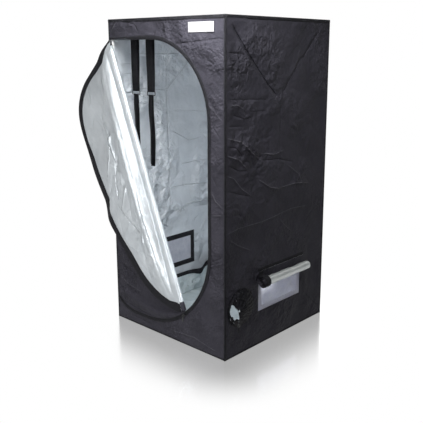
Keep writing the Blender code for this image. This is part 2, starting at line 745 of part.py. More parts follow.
def windows():
    """The insect mesh and its inner binding in each side wall."""
    lap_low = (WINDOW_FRONT - MESH_LAP, WINDOW_SILL - MESH_LAP)
    lap_high = (WINDOW_REAR + MESH_LAP, WINDOW_HEAD + MESH_LAP)
    inner = BINDING_WIDTH - MESH_LAP
    eye_low = (WINDOW_FRONT + inner, WINDOW_SILL + inner)
    eye_high = (WINDOW_REAR - inner, WINDOW_HEAD - inner)
    for side_name, side in (("left", -1), ("right", 1)):
        wall = WIDTH / 2 - CLOTH
        mesh_x = side * (wall - SEAT - MESH_CLOTH / 2)
        lap = rectangle(lap_low, lap_high)
        plate(f"{side_name}_window_mesh", [lap], MESH_CLOTH, SIDE_PLANE, (mesh_x, 0, 0), PALE_MESH)
        band_x = side * (wall - 2 * SEAT - MESH_CLOTH - BINDING_CLOTH / 2)
        band = [lap, rectangle(eye_low, eye_high)]
        plate(f"{side_name}_window_binding", band, BINDING_CLOTH, SIDE_PLANE, (band_x, 0, 0), BLACK_TAPE)


def left_cover():
    """The left window's cover, hanging shut over the mesh."""
    foot = WINDOW_SILL - COVER_LAP
    corner = COVER_LAP
    front = WINDOW_FRONT - COVER_LAP
    rear = WINDOW_REAR + COVER_LAP
    outline = [(front, COVER_SEAM_Z)]
    outline += arc((front + corner, foot + corner), corner, math.pi, 3 * math.pi / 2, 3 * ARC_STEP)
    outline += arc((rear - corner, foot + corner), corner, 3 * math.pi / 2, 2 * math.pi, 3 * ARC_STEP)
    outline += [(rear, COVER_SEAM_Z)]
    middle = -WIDTH / 2 - SEAT - COVER_CLOTH / 2
    cover = plate("left_window_cover", [outline], COVER_CLOTH, SIDE_PLANE, (middle, 0, 0), BLACK_CLOTH)
    pivot("left_cover_axis", (middle, 0, COVER_SEAM_Z), cover)


def cover_roll_centre():
    """The middle of the rolled cover, seen along it, as (x, z)."""
    return WIDTH / 2 + SEAT + COVER_CLOTH / 2 + COVER_ROLL_RADIUS, COVER_ROLL_Z


def right_cover():
    """The right window's cover, rolled outwards from its foot so that its silver side shows, and its tie."""
    centre = cover_roll_centre()
    count = math.ceil(COVER_ROLL_STEPS * COVER_ROLL_TURNS)
    path = [(centre[0] - COVER_ROLL_RADIUS, COVER_SEAM_Z)]
    for i in range(count + 1):
        turn = 2 * math.pi * COVER_ROLL_TURNS * i / count
        radius = COVER_ROLL_RADIUS - COVER_ROLL_PITCH * turn / (2 * math.pi)
        path.append((centre[0] + radius * math.cos(math.pi + turn), centre[1] + radius * math.sin(math.pi + turn)))
    length = WINDOW_REAR - WINDOW_FRONT + 2 * COVER_LAP
    middle_y = (WINDOW_REAR + WINDOW_FRONT) / 2 + COVER_ROLL_SHIFT
    outline = strip_outline(path, COVER_CLOTH)
    middle = (0, middle_y, 0)
    roll = plate("right_window_cover_roll", [outline], length, FRONT_PLANE, middle, SILVER_FILM)
    reach = COVER_ROLL_RADIUS + COVER_CLOTH / 2 + SEAT + TIE_CLOTH / 2
    hold = 3 * math.pi / 4
    wrap = arc(centre, reach, hold, -hold, 2 * ARC_STEP)
    tie_x = centre[0] - COVER_ROLL_RADIUS + COVER_CLOTH / 2 + SEAT + TIE_CLOTH / 2
    outline = strip_outline([(tie_x, COVER_SEAM_Z), (tie_x, wrap[0][1] + TIE_DROP)] + wrap, TIE_CLOTH)
    tie_y = middle_y - length / 2 + TIE_FROM_END + TIE_WIDTH / 2
    tie = plate("right_window_tie", [outline], TIE_WIDTH, FRONT_PLANE, (0, tie_y, 0), BLACK_TAPE)
    pivot("right_cover_axis", (path[0][0], middle_y, COVER_SEAM_Z), roll, tie)


# Duct ports: centre along the wall and up it, hole radius, the mouth's half width, half height and place
# beside that centre, how far the sleeve reaches from the wall, and how much further on its right side

RIGHT_PORT = {
    "name": "right_port",
    "plane": SIDE_PLANE,
    "along": RIGHT_PORT_FROM_FRONT - DEPTH / 2,
    "up": RIGHT_PORT_UP,
    "hole": RIGHT_PORT_RADIUS,
    "mouth": (RIGHT_MOUTH_HALF_WIDTH, RIGHT_MOUTH_HALF_HEIGHT),
    "mouth_along": RIGHT_MOUTH_ALONG,
    "mouth_up": RIGHT_MOUTH_UP,
    "reach": RIGHT_PORT_REACH,
    "tilt_share": RIGHT_TILT_SHARE,
}
BACK_PORT = {
    "name": "back_port",
    "plane": BACK_PLANE,
    "along": WIDTH / 2 - BACK_PORT_FROM_SIDE,
    "up": HEIGHT - BACK_PORT_FROM_TOP,
    "hole": BACK_PORT_RADIUS,
    "mouth": (BACK_MOUTH_RADIUS, BACK_MOUTH_RADIUS),
    "mouth_along": 0,
    "mouth_up": BACK_MOUTH_UP,
    "reach": BACK_PORT_REACH,
    "tilt_share": 0,
}
SLEEVE_REACH_SHARES = (0, 0, 0.28, 0.52, 0.70, 0.80, 1)
SLEEVE_TAPER_SHARES = (0, 0, 0.10, 0.45, 0.85, 1, 1)
SLEEVE_PLEAT_SHARES = (0, 0, 0.03, 0.07, 0.10, 0.08, 0.09)
HEM_SHARE = 0.9


def port_hole(port):
    """The round hole that a duct port needs in its wall."""
    return arc((port["along"], port["up"]), port["hole"], 0, 2 * math.pi, PORT_STEP)[:-1]


def port_ring(port, ring):
    """The centre, half width, half height, pleat share and reach from the wall of one ring of the sleeve."""
    taper = SLEEVE_TAPER_SHARES[ring]
    hole = port["hole"] + (SLEEVE_FLANGE if ring == 0 else 0)
    wide, tall = (hole + (half - hole) * taper for half in port["mouth"])
    centre = (port["mouth_along"] * taper, port["mouth_up"] * taper)
    return centre, wide, tall, SLEEVE_PLEAT_SHARES[ring], port["reach"] * SLEEVE_REACH_SHARES[ring]


def off_wall(port, reach, turn):
    """How far from the wall a ring's cloth lies at an angle round the ring."""
    return SEAT + SLEEVE_CLOTH / 2 + reach * (1 + port["tilt_share"] * math.cos(turn))


def port_frame(port, wall):
    """Where the port's own axes lie: x along the wall, y up, z out of the tent."""
    turn = Matrix.Rotation(port["plane"][2], 4, "Z") @ Matrix.Rotation(port["plane"][0], 4, "X")
    out = turn @ Vector((0, 0, wall))
    place_of = turn @ Vector((port["along"], port["up"], 0))
    return Matrix.Translation(out + place_of) @ turn


def sleeve(port, wall):
    """The gathered cloth tube: a loft from the round seam on the wall to the pleated mouth."""
    bm = bmesh.new()
    rings = []
    for ring in range(len(SLEEVE_REACH_SHARES)):
        centre, wide, tall, pleat, reach = port_ring(port, ring)
        verts = []
        for i in range(SLEEVE_POINTS):
            turn = 2 * math.pi * i / SLEEVE_POINTS
            swell = 1 + pleat * math.cos(SLEEVE_PLEATS * turn)
            x = centre[0] + wide * swell * math.cos(turn)
            y = centre[1] + tall * swell * math.sin(turn)
            verts.append(bm.verts.new((x, y, off_wall(port, reach, turn))))
        rings.append(verts)
    for inner, outer in zip(rings, rings[1:]):
        for i in range(SLEEVE_POINTS):
            j = (i + 1) % SLEEVE_POINTS
            bm.faces.new((inner[i], inner[j], outer[j], outer[i]))
    obj = place(port["name"] + "_sleeve", mesh_from(port["name"], bm, smooth=True), BLACK_CLOTH)
    solidify(obj, SLEEVE_CLOTH)
    obj.matrix_world = port_frame(port, wall)


def spline_points(route, spacing):
    """Evenly spaced points on a smooth curve through a route."""
    dense = []
    padded = [2 * route[0] - route[1]] + route + [2 * route[-1] - route[-2]]
    fine = 12
    for a, b, c, d in zip(padded, padded[1:], padded[2:], padded[3:]):
        for i in range(fine):
            t = i / fine
            dense.append(
                0.5 * (2 * b + (c - a) * t + (2 * a - 5 * b + 4 * c - d) * t**2 + (3 * b - a - 3 * c + d) * t**3)
            )
    dense.append(route[-1])
    made, left = [dense[0]], spacing
    for p, q in zip(dense, dense[1:]):
        step = (q - p).length
        while step >= left:
            p = p + (q - p) * left / step
            step -= left
            left = spacing
            made.append(p)
        left -= step
    return made


def drawcord(port, wall):
    """The cord round the mouth, its two tails brought down together through the cord lock."""
    last = len(SLEEVE_REACH_SHARES) - 1
    centre, wide, tall, pleat, _ = port_ring(port, last)
    hem = port["reach"] * HEM_SHARE
    level = off_wall(port, hem, -math.pi / 2)
    around = SLEEVE_CLOTH / 2 + CORD_GAP + CORD_RADIUS
    wide = wide * (1 + pleat) + around
    tall = tall * (1 + pleat) + around
    foot = centre[1] - tall
    lock_top = foot - LOCK_DROP

    def tail(side):
        x = centre[0] + side * CORD_SPREAD
        return [Vector((x, foot - CORD_TAIL * share, level)) for share in CORD_TAIL_SHARES]

    ring = []
    for x, y in arc((0, 0), 1, -CORD_PARTING, math.pi + CORD_PARTING, 3 * ARC_STEP):
        height = off_wall(port, hem, math.atan2(y, x))
        ring.append(Vector((centre[0] + wide * x, centre[1] + tall * y, height)))
    route = tail(1) + ring + tail(-1)[::-1]
    cord = wire(port["name"] + "_drawcord", spline_points(route, 4 * CORD_RADIUS), CORD_RADIUS, BLACK_TAPE)
    cord.matrix_world = port_frame(port, wall)
    return Vector((centre[0], lock_top, level))


def cord_lock(port, wall, top):
    """The toggle on the tails: a body with a slot for both cords, and a sprung button in its outer face."""
    name = port["name"] + "_cord_lock"
    half = LOCK_LENGTH / 2
    body = box(
        name,
        (-LOCK_WIDTH / 2, -half, -LOCK_DEPTH / 2),
        (LOCK_WIDTH / 2, half, LOCK_DEPTH / 2),
        BLACK_PLASTIC,
    )
    room = CORD_RADIUS + SEAT
    slot = box(
        name + "_slot",
        (-CORD_SPREAD - room, -half - CUT_OVERRUN, -room),
        (CORD_SPREAD + room, half + CUT_OVERRUN, room),
        None,
    )
    bore = rod(name + "_bore", LOCK_BORE_RADIUS, LOCK_BORE_DEPTH + CUT_OVERRUN, None)
    bore.location = (0, 0, LOCK_DEPTH / 2 - LOCK_BORE_DEPTH + (LOCK_BORE_DEPTH + CUT_OVERRUN) / 2)
    bevel(body, SOCKET_WALL / 2)
    button_length = LOCK_BUTTON_PROUD + LOCK_BUTTON_GAP
    button = rod(name + "_button", LOCK_BORE_RADIUS - LOCK_BUTTON_GAP, button_length, BLACK_PLASTIC)
    button_base = LOCK_DEPTH / 2 - LOCK_BUTTON_GAP
    frame_of = port_frame(port, wall) @ Matrix.Translation(top - Vector((0, half, 0)))
    button.matrix_world = frame_of @ Matrix.Translation((0, 0, button_base + button_length / 2))
    bore.matrix_world = frame_of @ Matrix.Translation(bore.location)
    for piece in (body, slot):
        piece.matrix_world = frame_of
    combine(body, slot, "DIFFERENCE")
    combine(body, bore, "DIFFERENCE")
    seat = frame_of.to_translation()
    pivot(name + "_axis", seat, body)
    pivot(name + "_button_axis", seat, button)


def duct_port(port, wall):
    sleeve(port, wall)
    cord_lock(port, wall, drawcord(port, wall))


# Hanging straps

STRAPS = (
    {
        "name": "strap_a",
        "x": STRAP_A_FROM_SIDE - WIDTH / 2,
        "rear": STRAP_A_REAR_TAIL,
        "front": STRAP_A_FRONT_TAIL,
    },
    {
        "name": "strap_b",
        "x": STRAP_B_FROM_SIDE - WIDTH / 2,
        "rear": STRAP_B_REAR_TAIL,
        "front": STRAP_B_FRONT_TAIL,
    },
)


def hanging_strap(strap):
    """A wide band looped over the front crossbar, a wire ring in its foot, and a narrow tail over the ring."""
    x = strap["x"]
    grip = BAR_RADIUS + SEAT + STRAP_CLOTH / 2
    ring_grip = RING_WIRE + SEAT + STRAP_CLOTH / 2
    ring_z = TOP_RAIL_Z - STRAP_DROP
    bar = (FRONT_BAR_Y, TOP_RAIL_Z)
    eye = (FRONT_BAR_Y, ring_z)

    def band(offset):
        top = arc(bar, grip + offset, 0, math.pi, 2 * ARC_STEP)
        return top + arc(eye, ring_grip + offset, math.pi, 2 * math.pi, 3 * ARC_STEP)

    half = STRAP_CLOTH / 2
    loops = [band(half), band(-half)]
    loop = plate(strap["name"] + "_loop", loops, STRAP_WIDTH, SIDE_PLANE, (x, 0, 0), WEBBING)
    low = (x - RING_WIDTH / 2, ring_z - RING_HEIGHT)
    high = (x + RING_WIDTH / 2, ring_z)
    corners = ((high, 0, -1, -1), ((low[0], high[1]), 1, 1, -1), (low, 2, 1, 1), ((high[0], low[1]), 3, -1, 1))
    points = []
    for (cx, cz), quarter, dx, dz in corners:
        centre = (cx + dx * RING_CORNER, cz + dz * RING_CORNER)
        turn = quarter * math.pi / 2
        points += arc(centre, RING_CORNER, turn, turn + math.pi / 2, 4 * ARC_STEP)
    ring = wire(
        strap["name"] + "_ring",
        [Vector((px, FRONT_BAR_Y, pz)) for px, pz in points],
        RING_WIRE,
        WIRE,
        cyclic=True,
    )
    tail_z = ring_z - RING_HEIGHT
    hang = (FRONT_BAR_Y, tail_z)
    path = []
    for share in FRONT_TAIL_SHARES:
        lean = TAIL_SLACK * math.sin(math.pi * share * FRONT_TAIL_WAVES)
        path.append((FRONT_BAR_Y - ring_grip - abs(lean), tail_z - strap["front"] * share))
    path += arc(hang, ring_grip, math.pi, 0, 3 * ARC_STEP)
    for share in REAR_TAIL_SHARES:
        lean = TAIL_SLACK * math.sin(math.pi * share)
        path.append((FRONT_BAR_Y + ring_grip + abs(lean), tail_z - strap["rear"] * share))
    outline = strip_outline(path, STRAP_CLOTH)
    tail = plate(strap["name"] + "_tail", [outline], TAIL_WIDTH, SIDE_PLANE, (x, 0, 0), WEBBING)
    pivot(strap["name"] + "_slide_axis", (x, FRONT_BAR_Y, TOP_RAIL_Z), loop)
    pivot(strap["name"] + "_ring_axis", (x, FRONT_BAR_Y, ring_z), ring)
    pivot(strap["name"] + "_swing_axis", (x, FRONT_BAR_Y, tail_z), tail)


def floor_tray():
    """The loose liner: a shallow open box that stands on the floor panel inside the floor rails."""
    side = POST_X - SOCKET_RADIUS - TRAY_GAP
    end = POST_Y - SOCKET_RADIUS - TRAY_GAP
    low = CLOTH + SEAT + TRAY_CLOTH / 2
    bm = bmesh.new()
    size = Vector((2 * side, 2 * end, TRAY_HEIGHT))
    centre = Vector((0, 0, low + TRAY_HEIGHT / 2))
    bmesh.ops.create_cube(bm, size=1, matrix=Matrix.Translation(centre) @ Matrix.Diagonal((*size, 1)))
    bm.normal_update()
    lid = [face for face in bm.faces if face.normal.z > 0 and face.calc_center_median().z > size.z]
    bmesh.ops.delete(bm, geom=lid, context="FACES_ONLY")
    tray = place("floor_tray", mesh_from("floor_tray", bm), SILVER_FILM)
    solidify(tray, TRAY_CLOTH, square=True)


shell()
frame()
connectors()
crossbar("front_crossbar", FRONT_BAR_Y)
crossbar("rear_crossbar", REAR_BAR_Y)
sewn_panel()
frame_zip_tape()
flap()
zip_slider()
windows()
left_cover()
right_cover()
duct_port(RIGHT_PORT, WIDTH / 2)
duct_port(BACK_PORT, DEPTH / 2)
for one_strap in STRAPS:
    hanging_strap(one_strap)
floor_tray()
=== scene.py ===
"""Indoor grow tent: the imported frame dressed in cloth, film, tape, webbing and coated steel."""

import math

import bmesh
import bpy
import numpy as np
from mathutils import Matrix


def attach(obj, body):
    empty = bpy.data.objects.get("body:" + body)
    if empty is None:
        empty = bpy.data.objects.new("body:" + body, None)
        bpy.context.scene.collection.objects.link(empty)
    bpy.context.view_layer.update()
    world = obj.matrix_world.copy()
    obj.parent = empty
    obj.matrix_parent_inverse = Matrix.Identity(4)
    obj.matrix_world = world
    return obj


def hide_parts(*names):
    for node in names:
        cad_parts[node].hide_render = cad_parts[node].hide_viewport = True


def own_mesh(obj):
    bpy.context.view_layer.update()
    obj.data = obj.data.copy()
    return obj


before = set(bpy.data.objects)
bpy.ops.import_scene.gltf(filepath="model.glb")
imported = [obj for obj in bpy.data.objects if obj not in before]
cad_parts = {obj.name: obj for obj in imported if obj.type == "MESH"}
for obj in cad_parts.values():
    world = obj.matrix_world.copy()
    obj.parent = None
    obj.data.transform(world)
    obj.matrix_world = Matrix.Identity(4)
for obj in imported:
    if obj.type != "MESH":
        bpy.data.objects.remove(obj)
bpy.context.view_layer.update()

# Camera and studio: the photograph was taken from 1.46 m up, to the right of the door, in front of a white
# sweep whose floor is faintly glossy.

SKY_MIRRORED, SKY_ON_TENT, FLOOR_MIRRORED = 0.05, 0.12, 0.8
FLOOR_HALF, FLOOR_LEVEL = 9, -0.0006
BEHIND_TENT = (-0.675, 0.738, 0.0)


def in_scene(name, data):
    """A new object in the scene that holds the data."""
    made = bpy.data.objects.new(name, data)
    bpy.context.scene.collection.objects.link(made)
    return made


def add_node(tree, kind, inputs=None, **settings):
    """Adds a shader node; an input given as another node's output is linked, and any other is a plain
    value."""
    made = tree.nodes.new("ShaderNode" + kind)
    for key, value in settings.items():
        setattr(made, key, value)
    for socket, value in (inputs or {}).items():
        if isinstance(value, bpy.types.NodeSocket):
            tree.links.new(value, made.inputs[socket])
        else:
            made.inputs[socket].default_value = value
    return made


def calc(tree, operation, *values, **settings):
    """The result of a sum, a product or another operation on values."""
    return add_node(tree, "Math", dict(enumerate(values)), operation=operation, **settings).outputs[0]


def ranged(tree, value, low, high, start=0.0, end=1.0, **settings):
    """A value that runs from start to end, stretched between low and high."""
    inputs = {"Value": value, "From Min": start, "From Max": end, "To Min": low, "To Max": high}
    return add_node(tree, "MapRange", inputs, **settings).outputs[0]


def axes_of(tree, vector):
    """A vector's three axes."""
    return add_node(tree, "SeparateXYZ", {"Vector": vector}).outputs


def object_place(tree):
    """The place on the object, in metres."""
    return add_node(tree, "TexCoord").outputs["Object"]


def mixed(tree, share, first, second):
    """Two shaders mixed by a share of the second."""
    return add_node(tree, "MixShader", {0: share, 1: first.outputs[0], 2: second.outputs[0]})


def new_finish(name, colour, roughness, sockets=None):
    """A new material with its shader's own sockets set."""
    material = bpy.data.materials.new(name)
    material.use_nodes = True
    shader = material.node_tree.nodes["Principled BSDF"]
    shader.inputs["Base Color"].default_value = (*colour, 1)
    shader.inputs["Roughness"].default_value = roughness
    for socket, value in (sockets or {}).items():
        shader.inputs[socket].default_value = value
    return material, material.node_tree, shader


camera = in_scene("camera", bpy.data.cameras.new("camera"))
camera.location = (2.295, -2.49, 1.457)
camera.rotation_euler = (math.radians(90 - 12.47), 0, math.radians(42.43))
camera.data.sensor_fit = "HORIZONTAL"
camera.data.sensor_width = 36
camera.data.lens = 54.75
camera.data.shift_x = -0.0262
camera.data.shift_y = -0.0487
bpy.context.scene.camera = camera
bpy.context.scene.view_settings.view_transform = "Standard"

world = bpy.data.worlds.new("white_sweep")
bpy.context.scene.world = world
world.use_nodes = True
sky = world.node_tree
ray = add_node(sky, "LightPath").outputs
seen = calc(sky, "MAXIMUM", ray["Is Camera Ray"], ray["Is Transmission Ray"])
direction = add_node(sky, "TexCoord").outputs["Generated"]
toward = add_node(sky, "VectorMath", {0: direction, 1: BEHIND_TENT}, operation="DOT_PRODUCT").outputs["Value"]
shine = calc(sky, "MULTIPLY", ray["Is Glossy Ray"], ranged(sky, toward, SKY_MIRRORED, 1.0, 0.3, 0.6))
level = calc(sky, "MAXIMUM", calc(sky, "MAXIMUM", seen, shine), SKY_ON_TENT)
sky.nodes["Background"].inputs["Color"].default_value = (1, 1, 1, 1)
sky.links.new(level, sky.nodes["Background"].inputs["Strength"])

# name, place, aimed at, width, height, power, spread in degrees
for name, place, aim, width, height, power, spread in (
    ("key_lamp", (0.65, -2.1, 2.9), (0.05, -0.4, 0.95), 0.9, 0.9, 22, 180),
    ("top_lamp", (0.45, -0.78, 1.95), (0.18, -0.4, 1.45), 0.3, 0.3, 15.5, 180),
    ("door_lamp", (1.0, -3.6, 1.5), (-0.2, 0, 0.8), 0.9, 1.4, 26, 180),
    ("low_lamp", (0.3, -2.4, 0.5), (-0.2, -0.4, 0.5), 0.9, 0.6, 12, 180),
    ("side_lamp", (1.3, -0.7, 2.6), (0.4, -0.1, 1.5), 0.5, 0.5, 2.8, 70),
    ("rear_lamp", (-1.7, 2.5, 2.2), (-0.1, 0.2, 0.8), 1.2, 1.2, 45, 180),
    ("inner_lamp", (0.335, -0.345, 0.80), (-0.4, 0.25, 0.80), 0.06, 1.25, 3.0, 180),
    ("window_lamp", (0.20, 0.03, 0.24), (0.4, 0.03, 0.24), 0.30, 0.16, 0.34, 180),
):
    softbox = bpy.data.lights.new(name, "AREA")
    softbox.shape = "RECTANGLE"
    softbox.size, softbox.size_y = width, height
    softbox.energy = power
    softbox.spread = math.radians(spread)
    lamp = in_scene(name, softbox)
    lamp.location = place
    lamp.visible_camera = False
    way = np.array(aim) - np.array(place)
    lamp.rotation_euler = (math.pi / 2 + math.asin(way[2] / np.linalg.norm(way)), 0,
                           math.atan2(-way[0], way[1]))

floor_mesh = bpy.data.meshes.new("studio_floor")
floor_corners = [(x * FLOOR_HALF, y * FLOOR_HALF, FLOOR_LEVEL) for x,
                 y in ((-1, -1), (1, -1), (1, 1), (-1, 1))]
floor_mesh.from_pydata(floor_corners, [], [(0, 1, 2, 3)])
studio_floor = in_scene("studio_floor", floor_mesh)
floor_finish, floor, matt = new_finish("glossy_white_floor", (0.30, 0.30, 0.30), 0.7)
axes = axes_of(floor, object_place(floor))
squares = []
for axis in ("X", "Y"):
    beyond = calc(floor, "SUBTRACT", calc(floor, "ABSOLUTE", axes[axis]), 0.4)
    squares.append(calc(floor, "POWER", calc(floor, "MAXIMUM", beyond, 0.0), 2.0))
off_tent = calc(floor, "SQRT", calc(floor, "ADD", *squares))
gloss = ranged(floor, off_tent, 0.60, 0.0, 0.0, 0.46, interpolation_type="SMOOTHERSTEP")
mirror = add_node(floor, "BsdfAnisotropic", {"Color": (1, 1, 1, 1), "Roughness": 0.16})
ray = add_node(floor, "LightPath").outputs
seen = mixed(floor, gloss, add_node(floor, "Emission", {"Strength": 1.0}), mirror)
lit = mixed(floor, ray["Is Glossy Ray"], matt, add_node(floor, "Emission", {"Strength": FLOOR_MIRRORED}))
shown = mixed(floor, ray["Is Camera Ray"], lit, seen)
floor.links.new(shown.outputs[0], floor.nodes["Material Output"].inputs["Surface"])
floor_mesh.materials.append(floor_finish)

# Front panel: black coated oxford cloth with a silver film inside, cut out for the D-shaped doorway. Each
# panel is one cut of cloth, creased where it lay folded in its carton.

TENT_HALF, TENT_HEIGHT = 0.4, 1.6
CLOTH, SEAM_GAP = 0.001, 0.0003


def smooth(share):
    """An even S from 0 to 1: 3 s^2 - 2 s^3, with s held between 0 and 1."""
    share = np.clip(share, 0, 1)
    return share * share * (3 - 2 * share)


def stacked(*parts):
    """Arrays spread to one shape and stacked as the last axis, such as x, y and z into points."""
    return np.stack(np.broadcast_arrays(*parts), -1)


def fold_lines(u, v, folds):
    """Sharp folds at (u, v), each a row in mm: its width, its depth and its path's points one after the
    other.

    It adds depth / 2 * exp(-d / width) at distance d from its path, and runs out over the last 40 mm of
    both ends. Also gives the nearest fold's signed distance, its distance and its strength."""
    height = np.zeros_like(u)
    crease = np.stack([np.ones_like(u), np.ones_like(u), np.zeros_like(u)], -1)
    for width, depth, *path in folds:
        width, depth, path = width / 1000, depth / 1000, np.reshape(path, (-1, 2)) / 1000
        steps = np.diff(path, axis=0)
        lengths = np.hypot(steps[:, 0], steps[:, 1])
        before = np.cumsum(lengths) - lengths
        rel = np.stack([u, v], -1)[..., None, :] - path[:-1]
        share = np.clip((rel * steps).sum(-1) / lengths**2, 0, 1)
        gap = np.linalg.norm(rel - share[..., None] * steps, axis=-1)
        nearest = gap.argmin(-1)[..., None]
        distance = np.take_along_axis(gap, nearest, -1)[..., 0]
        way = np.take_along_axis(before + share * lengths, nearest, -1)[..., 0]
        turn = steps[:, 0] * rel[..., 1] - steps[:, 1] * rel[..., 0]
        side = np.where(np.take_along_axis(turn, nearest, -1)[..., 0] < 0, -1.0, 1.0)
        fade = smooth(way / 0.04) * smooth((lengths.sum() - way) / 0.04)
        height += depth / 2 * np.exp(-distance / width) * fade
        found = np.stack([side * distance, distance, fade * depth / 0.004], -1)
        crease = np.where((distance < crease[..., 1])[..., None], found, crease)
    return height, crease


def crumple(u, v, middle, spread, count, length, depth, seed, lean=0.0, turn_spread=0.7):
    """Many short bowed folds about a middle point, each adding
    +-depth * exp(-|across| / 6 mm) * exp(-(along / run)^2)."""
    draw = np.random.default_rng(seed)
    height = np.zeros_like(u)
    for _ in range(count):
        centre = np.array(middle) + np.array(spread) * draw.normal(size=2)
        turn = lean + draw.normal() * turn_spread
        run = length * draw.uniform(0.5, 1.5)
        along = (u - centre[0]) * math.cos(turn) + (v - centre[1]) * math.sin(turn)
        across = (v - centre[1]) * math.cos(turn) - (u - centre[0]) * math.sin(turn)
        across = across + draw.uniform(-0.5, 0.5) * along**2 / run
        height += draw.uniform(-1, 1) * depth * np.exp(-np.abs(across) / 0.006 - (along / run) ** 2)
    return height


def billow(u, v, depth, seed):
    """Slow waves of the slack cloth: six sines of random direction and phase, 0.25 to 0.7 m long."""
    draw = np.random.default_rng(seed)
    height = np.zeros_like(u)
    for _ in range(6):
        turn = draw.uniform(0, math.pi)
        pitch = draw.uniform(0.25, 0.7)
        phase = draw.uniform(0, 2 * math.pi)
        height += np.sin(2 * math.pi * (u * math.cos(turn) + v * math.sin(turn)) / pitch + phase)
    return depth * height / 2.5


def relief(u, v, folds, patches, slack=None):
    """The height of folds, patches of crumples and slack together, and the folds' creases."""
    height, crease = fold_lines(u, v, folds)
    for patch in patches:
        height = height + crumple(u, v, *patch)
    if slack:
        height = height + billow(u, v, *slack)
    return height, crease


def mesh_piece(name, points, faces, materials, body):
    """A mesh of points and faces that rides on a body of the frame."""
    mesh = bpy.data.meshes.new(name)
    mesh.from_pydata(points.reshape(-1, 3).tolist(), [], faces.tolist())
    for material in materials:
        mesh.materials.append(material)
    made = in_scene(name, mesh)
    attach(made, body)
    return made


def surface(name, points, materials, node=None, thickness=0, offset=-1, body="tent", turned=None,
            closed=False, keep=None, uv=None, crease=None):
    """A sheet through a grid of points, rows by columns, whose neighbours join as four-sided faces.

    The faces look along row step x column step, and the other way when the rows or the columns are turned
    round. A closed sheet joins its last column to its first. A second material shows on the far side of its
    thickness."""
    order = {None: np.s_[:], "rows": np.s_[::-1], "columns": np.s_[:, ::-1]}[turned]
    points, keep, uv, crease = (part if part is None else part[order] for part in (points, keep, uv, crease))
    rows, columns = points.shape[:2]
    index = np.arange(rows * columns).reshape(rows, columns)
    if closed:
        index = np.hstack([index, index[:, :1]])
    quads = np.stack([index[:-1, :-1], index[1:, :-1], index[1:, 1:], index[:-1, 1:]], axis=-1)
    quads = quads.reshape(-1, 4) if keep is None else quads[keep]
    used, quads = np.unique(quads, return_inverse=True)
    quads = quads.reshape(-1, 4)
    made = mesh_piece(name, points.reshape(-1, 3)[used], quads, materials, body)
    if uv is not None:
        layer = made.data.uv_layers.new(name="UVMap")
        layer.data.foreach_set("uv",
                               uv.reshape(-1, 2)[used][quads.reshape(-1)].astype(np.float32).reshape(-1))
    if crease is not None:
        values = made.data.attributes.new("crease", "FLOAT_VECTOR", "POINT")
        values.data.foreach_set("vector", crease.reshape(-1, 3)[used].astype(np.float32).reshape(-1))
    made.data.shade_smooth()
    if thickness:
        wall = made.modifiers.new("thickness", "SOLIDIFY")
        wall.thickness = thickness
        wall.offset = offset
        wall.material_offset = len(materials) - 1
    if node:
        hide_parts(node)
    return made


def noise(tree, place, scale, detail, roughness=0.5, output="Fac"):
    """Noise of that many cells a metre."""
    inputs = {"Vector": place, "Scale": scale, "Detail": detail, "Roughness": roughness}
    return add_node(tree, "TexNoise", inputs).outputs[output]


def mottle(tree, where, scale, dark, light, detail=4.0):
    """Cloudy colour: noise of that many cells a metre spread between a dark and a light tone."""
    cloud = noise(tree, where, scale, detail, 0.6)
    ramp = add_node(tree, "ValToRGB", {"Fac": cloud})
    for element, position, tone in zip(ramp.color_ramp.elements, (0.3, 0.7), (dark, light)):
        element.position = position
        element.color = (*tone, 1)
    return ramp.outputs["Color"], cloud


def threads(tree, across, along, pitch):
    """Over-and-under threads: sin(2 pi a / pitch) * sin(2 pi b / pitch)."""
    waves = [calc(tree, "SINE", calc(tree, "MULTIPLY", value, 2 * math.pi / pitch)) for value in (across,
                                                                                                  along)]
    return calc(tree, "MULTIPLY", *waves)


def bumps(tree, shader, layers):
    """Stacks bump layers (height, distance, strength) and joins them to the shader's normal."""
    below = {}
    for height, distance, strength in layers:
        inputs = {"Height": height, "Distance": distance, "Strength": strength, **below}
        below = {"Normal": add_node(tree, "Bump", inputs).outputs["Normal"]}
    tree.links.new(below["Normal"], shader.inputs["Normal"])


def crease_line(tree):
    """From the crease attribute: a crest's thin line and a valley's, each 1 on the line to 0 at 1.5 mm off
    it times the fold's strength, and its signed height, from 1 on the line to 0 at 4 mm on one side and 14
    mm on the other."""
    axes = axes_of(tree, add_node(tree, "Attribute", attribute_name="crease").outputs["Vector"])
    strength = calc(tree, "MULTIPLY", ranged(tree, axes["Y"], 1.0, 0.0, 0.011, 0.015), axes["Z"])
    thin = ranged(tree, calc(tree, "ABSOLUTE", axes["X"]), 1.0, 0.0, 0.0, 0.0015)
    steep = ranged(tree, axes["X"], 1.0, 0.0, 0.0, 0.004)
    gentle = ranged(tree, axes["X"], 0.0, 1.0, -0.014, 0.0, interpolation_type="SMOOTHERSTEP")
    crest = calc(tree, "MULTIPLY", thin, strength, use_clamp=True)
    valley = calc(tree, "MULTIPLY", thin, calc(tree, "MULTIPLY", strength, -1.0), use_clamp=True)
    return crest, valley, calc(tree, "MULTIPLY", calc(tree, "MULTIPLY", steep, gentle), strength)


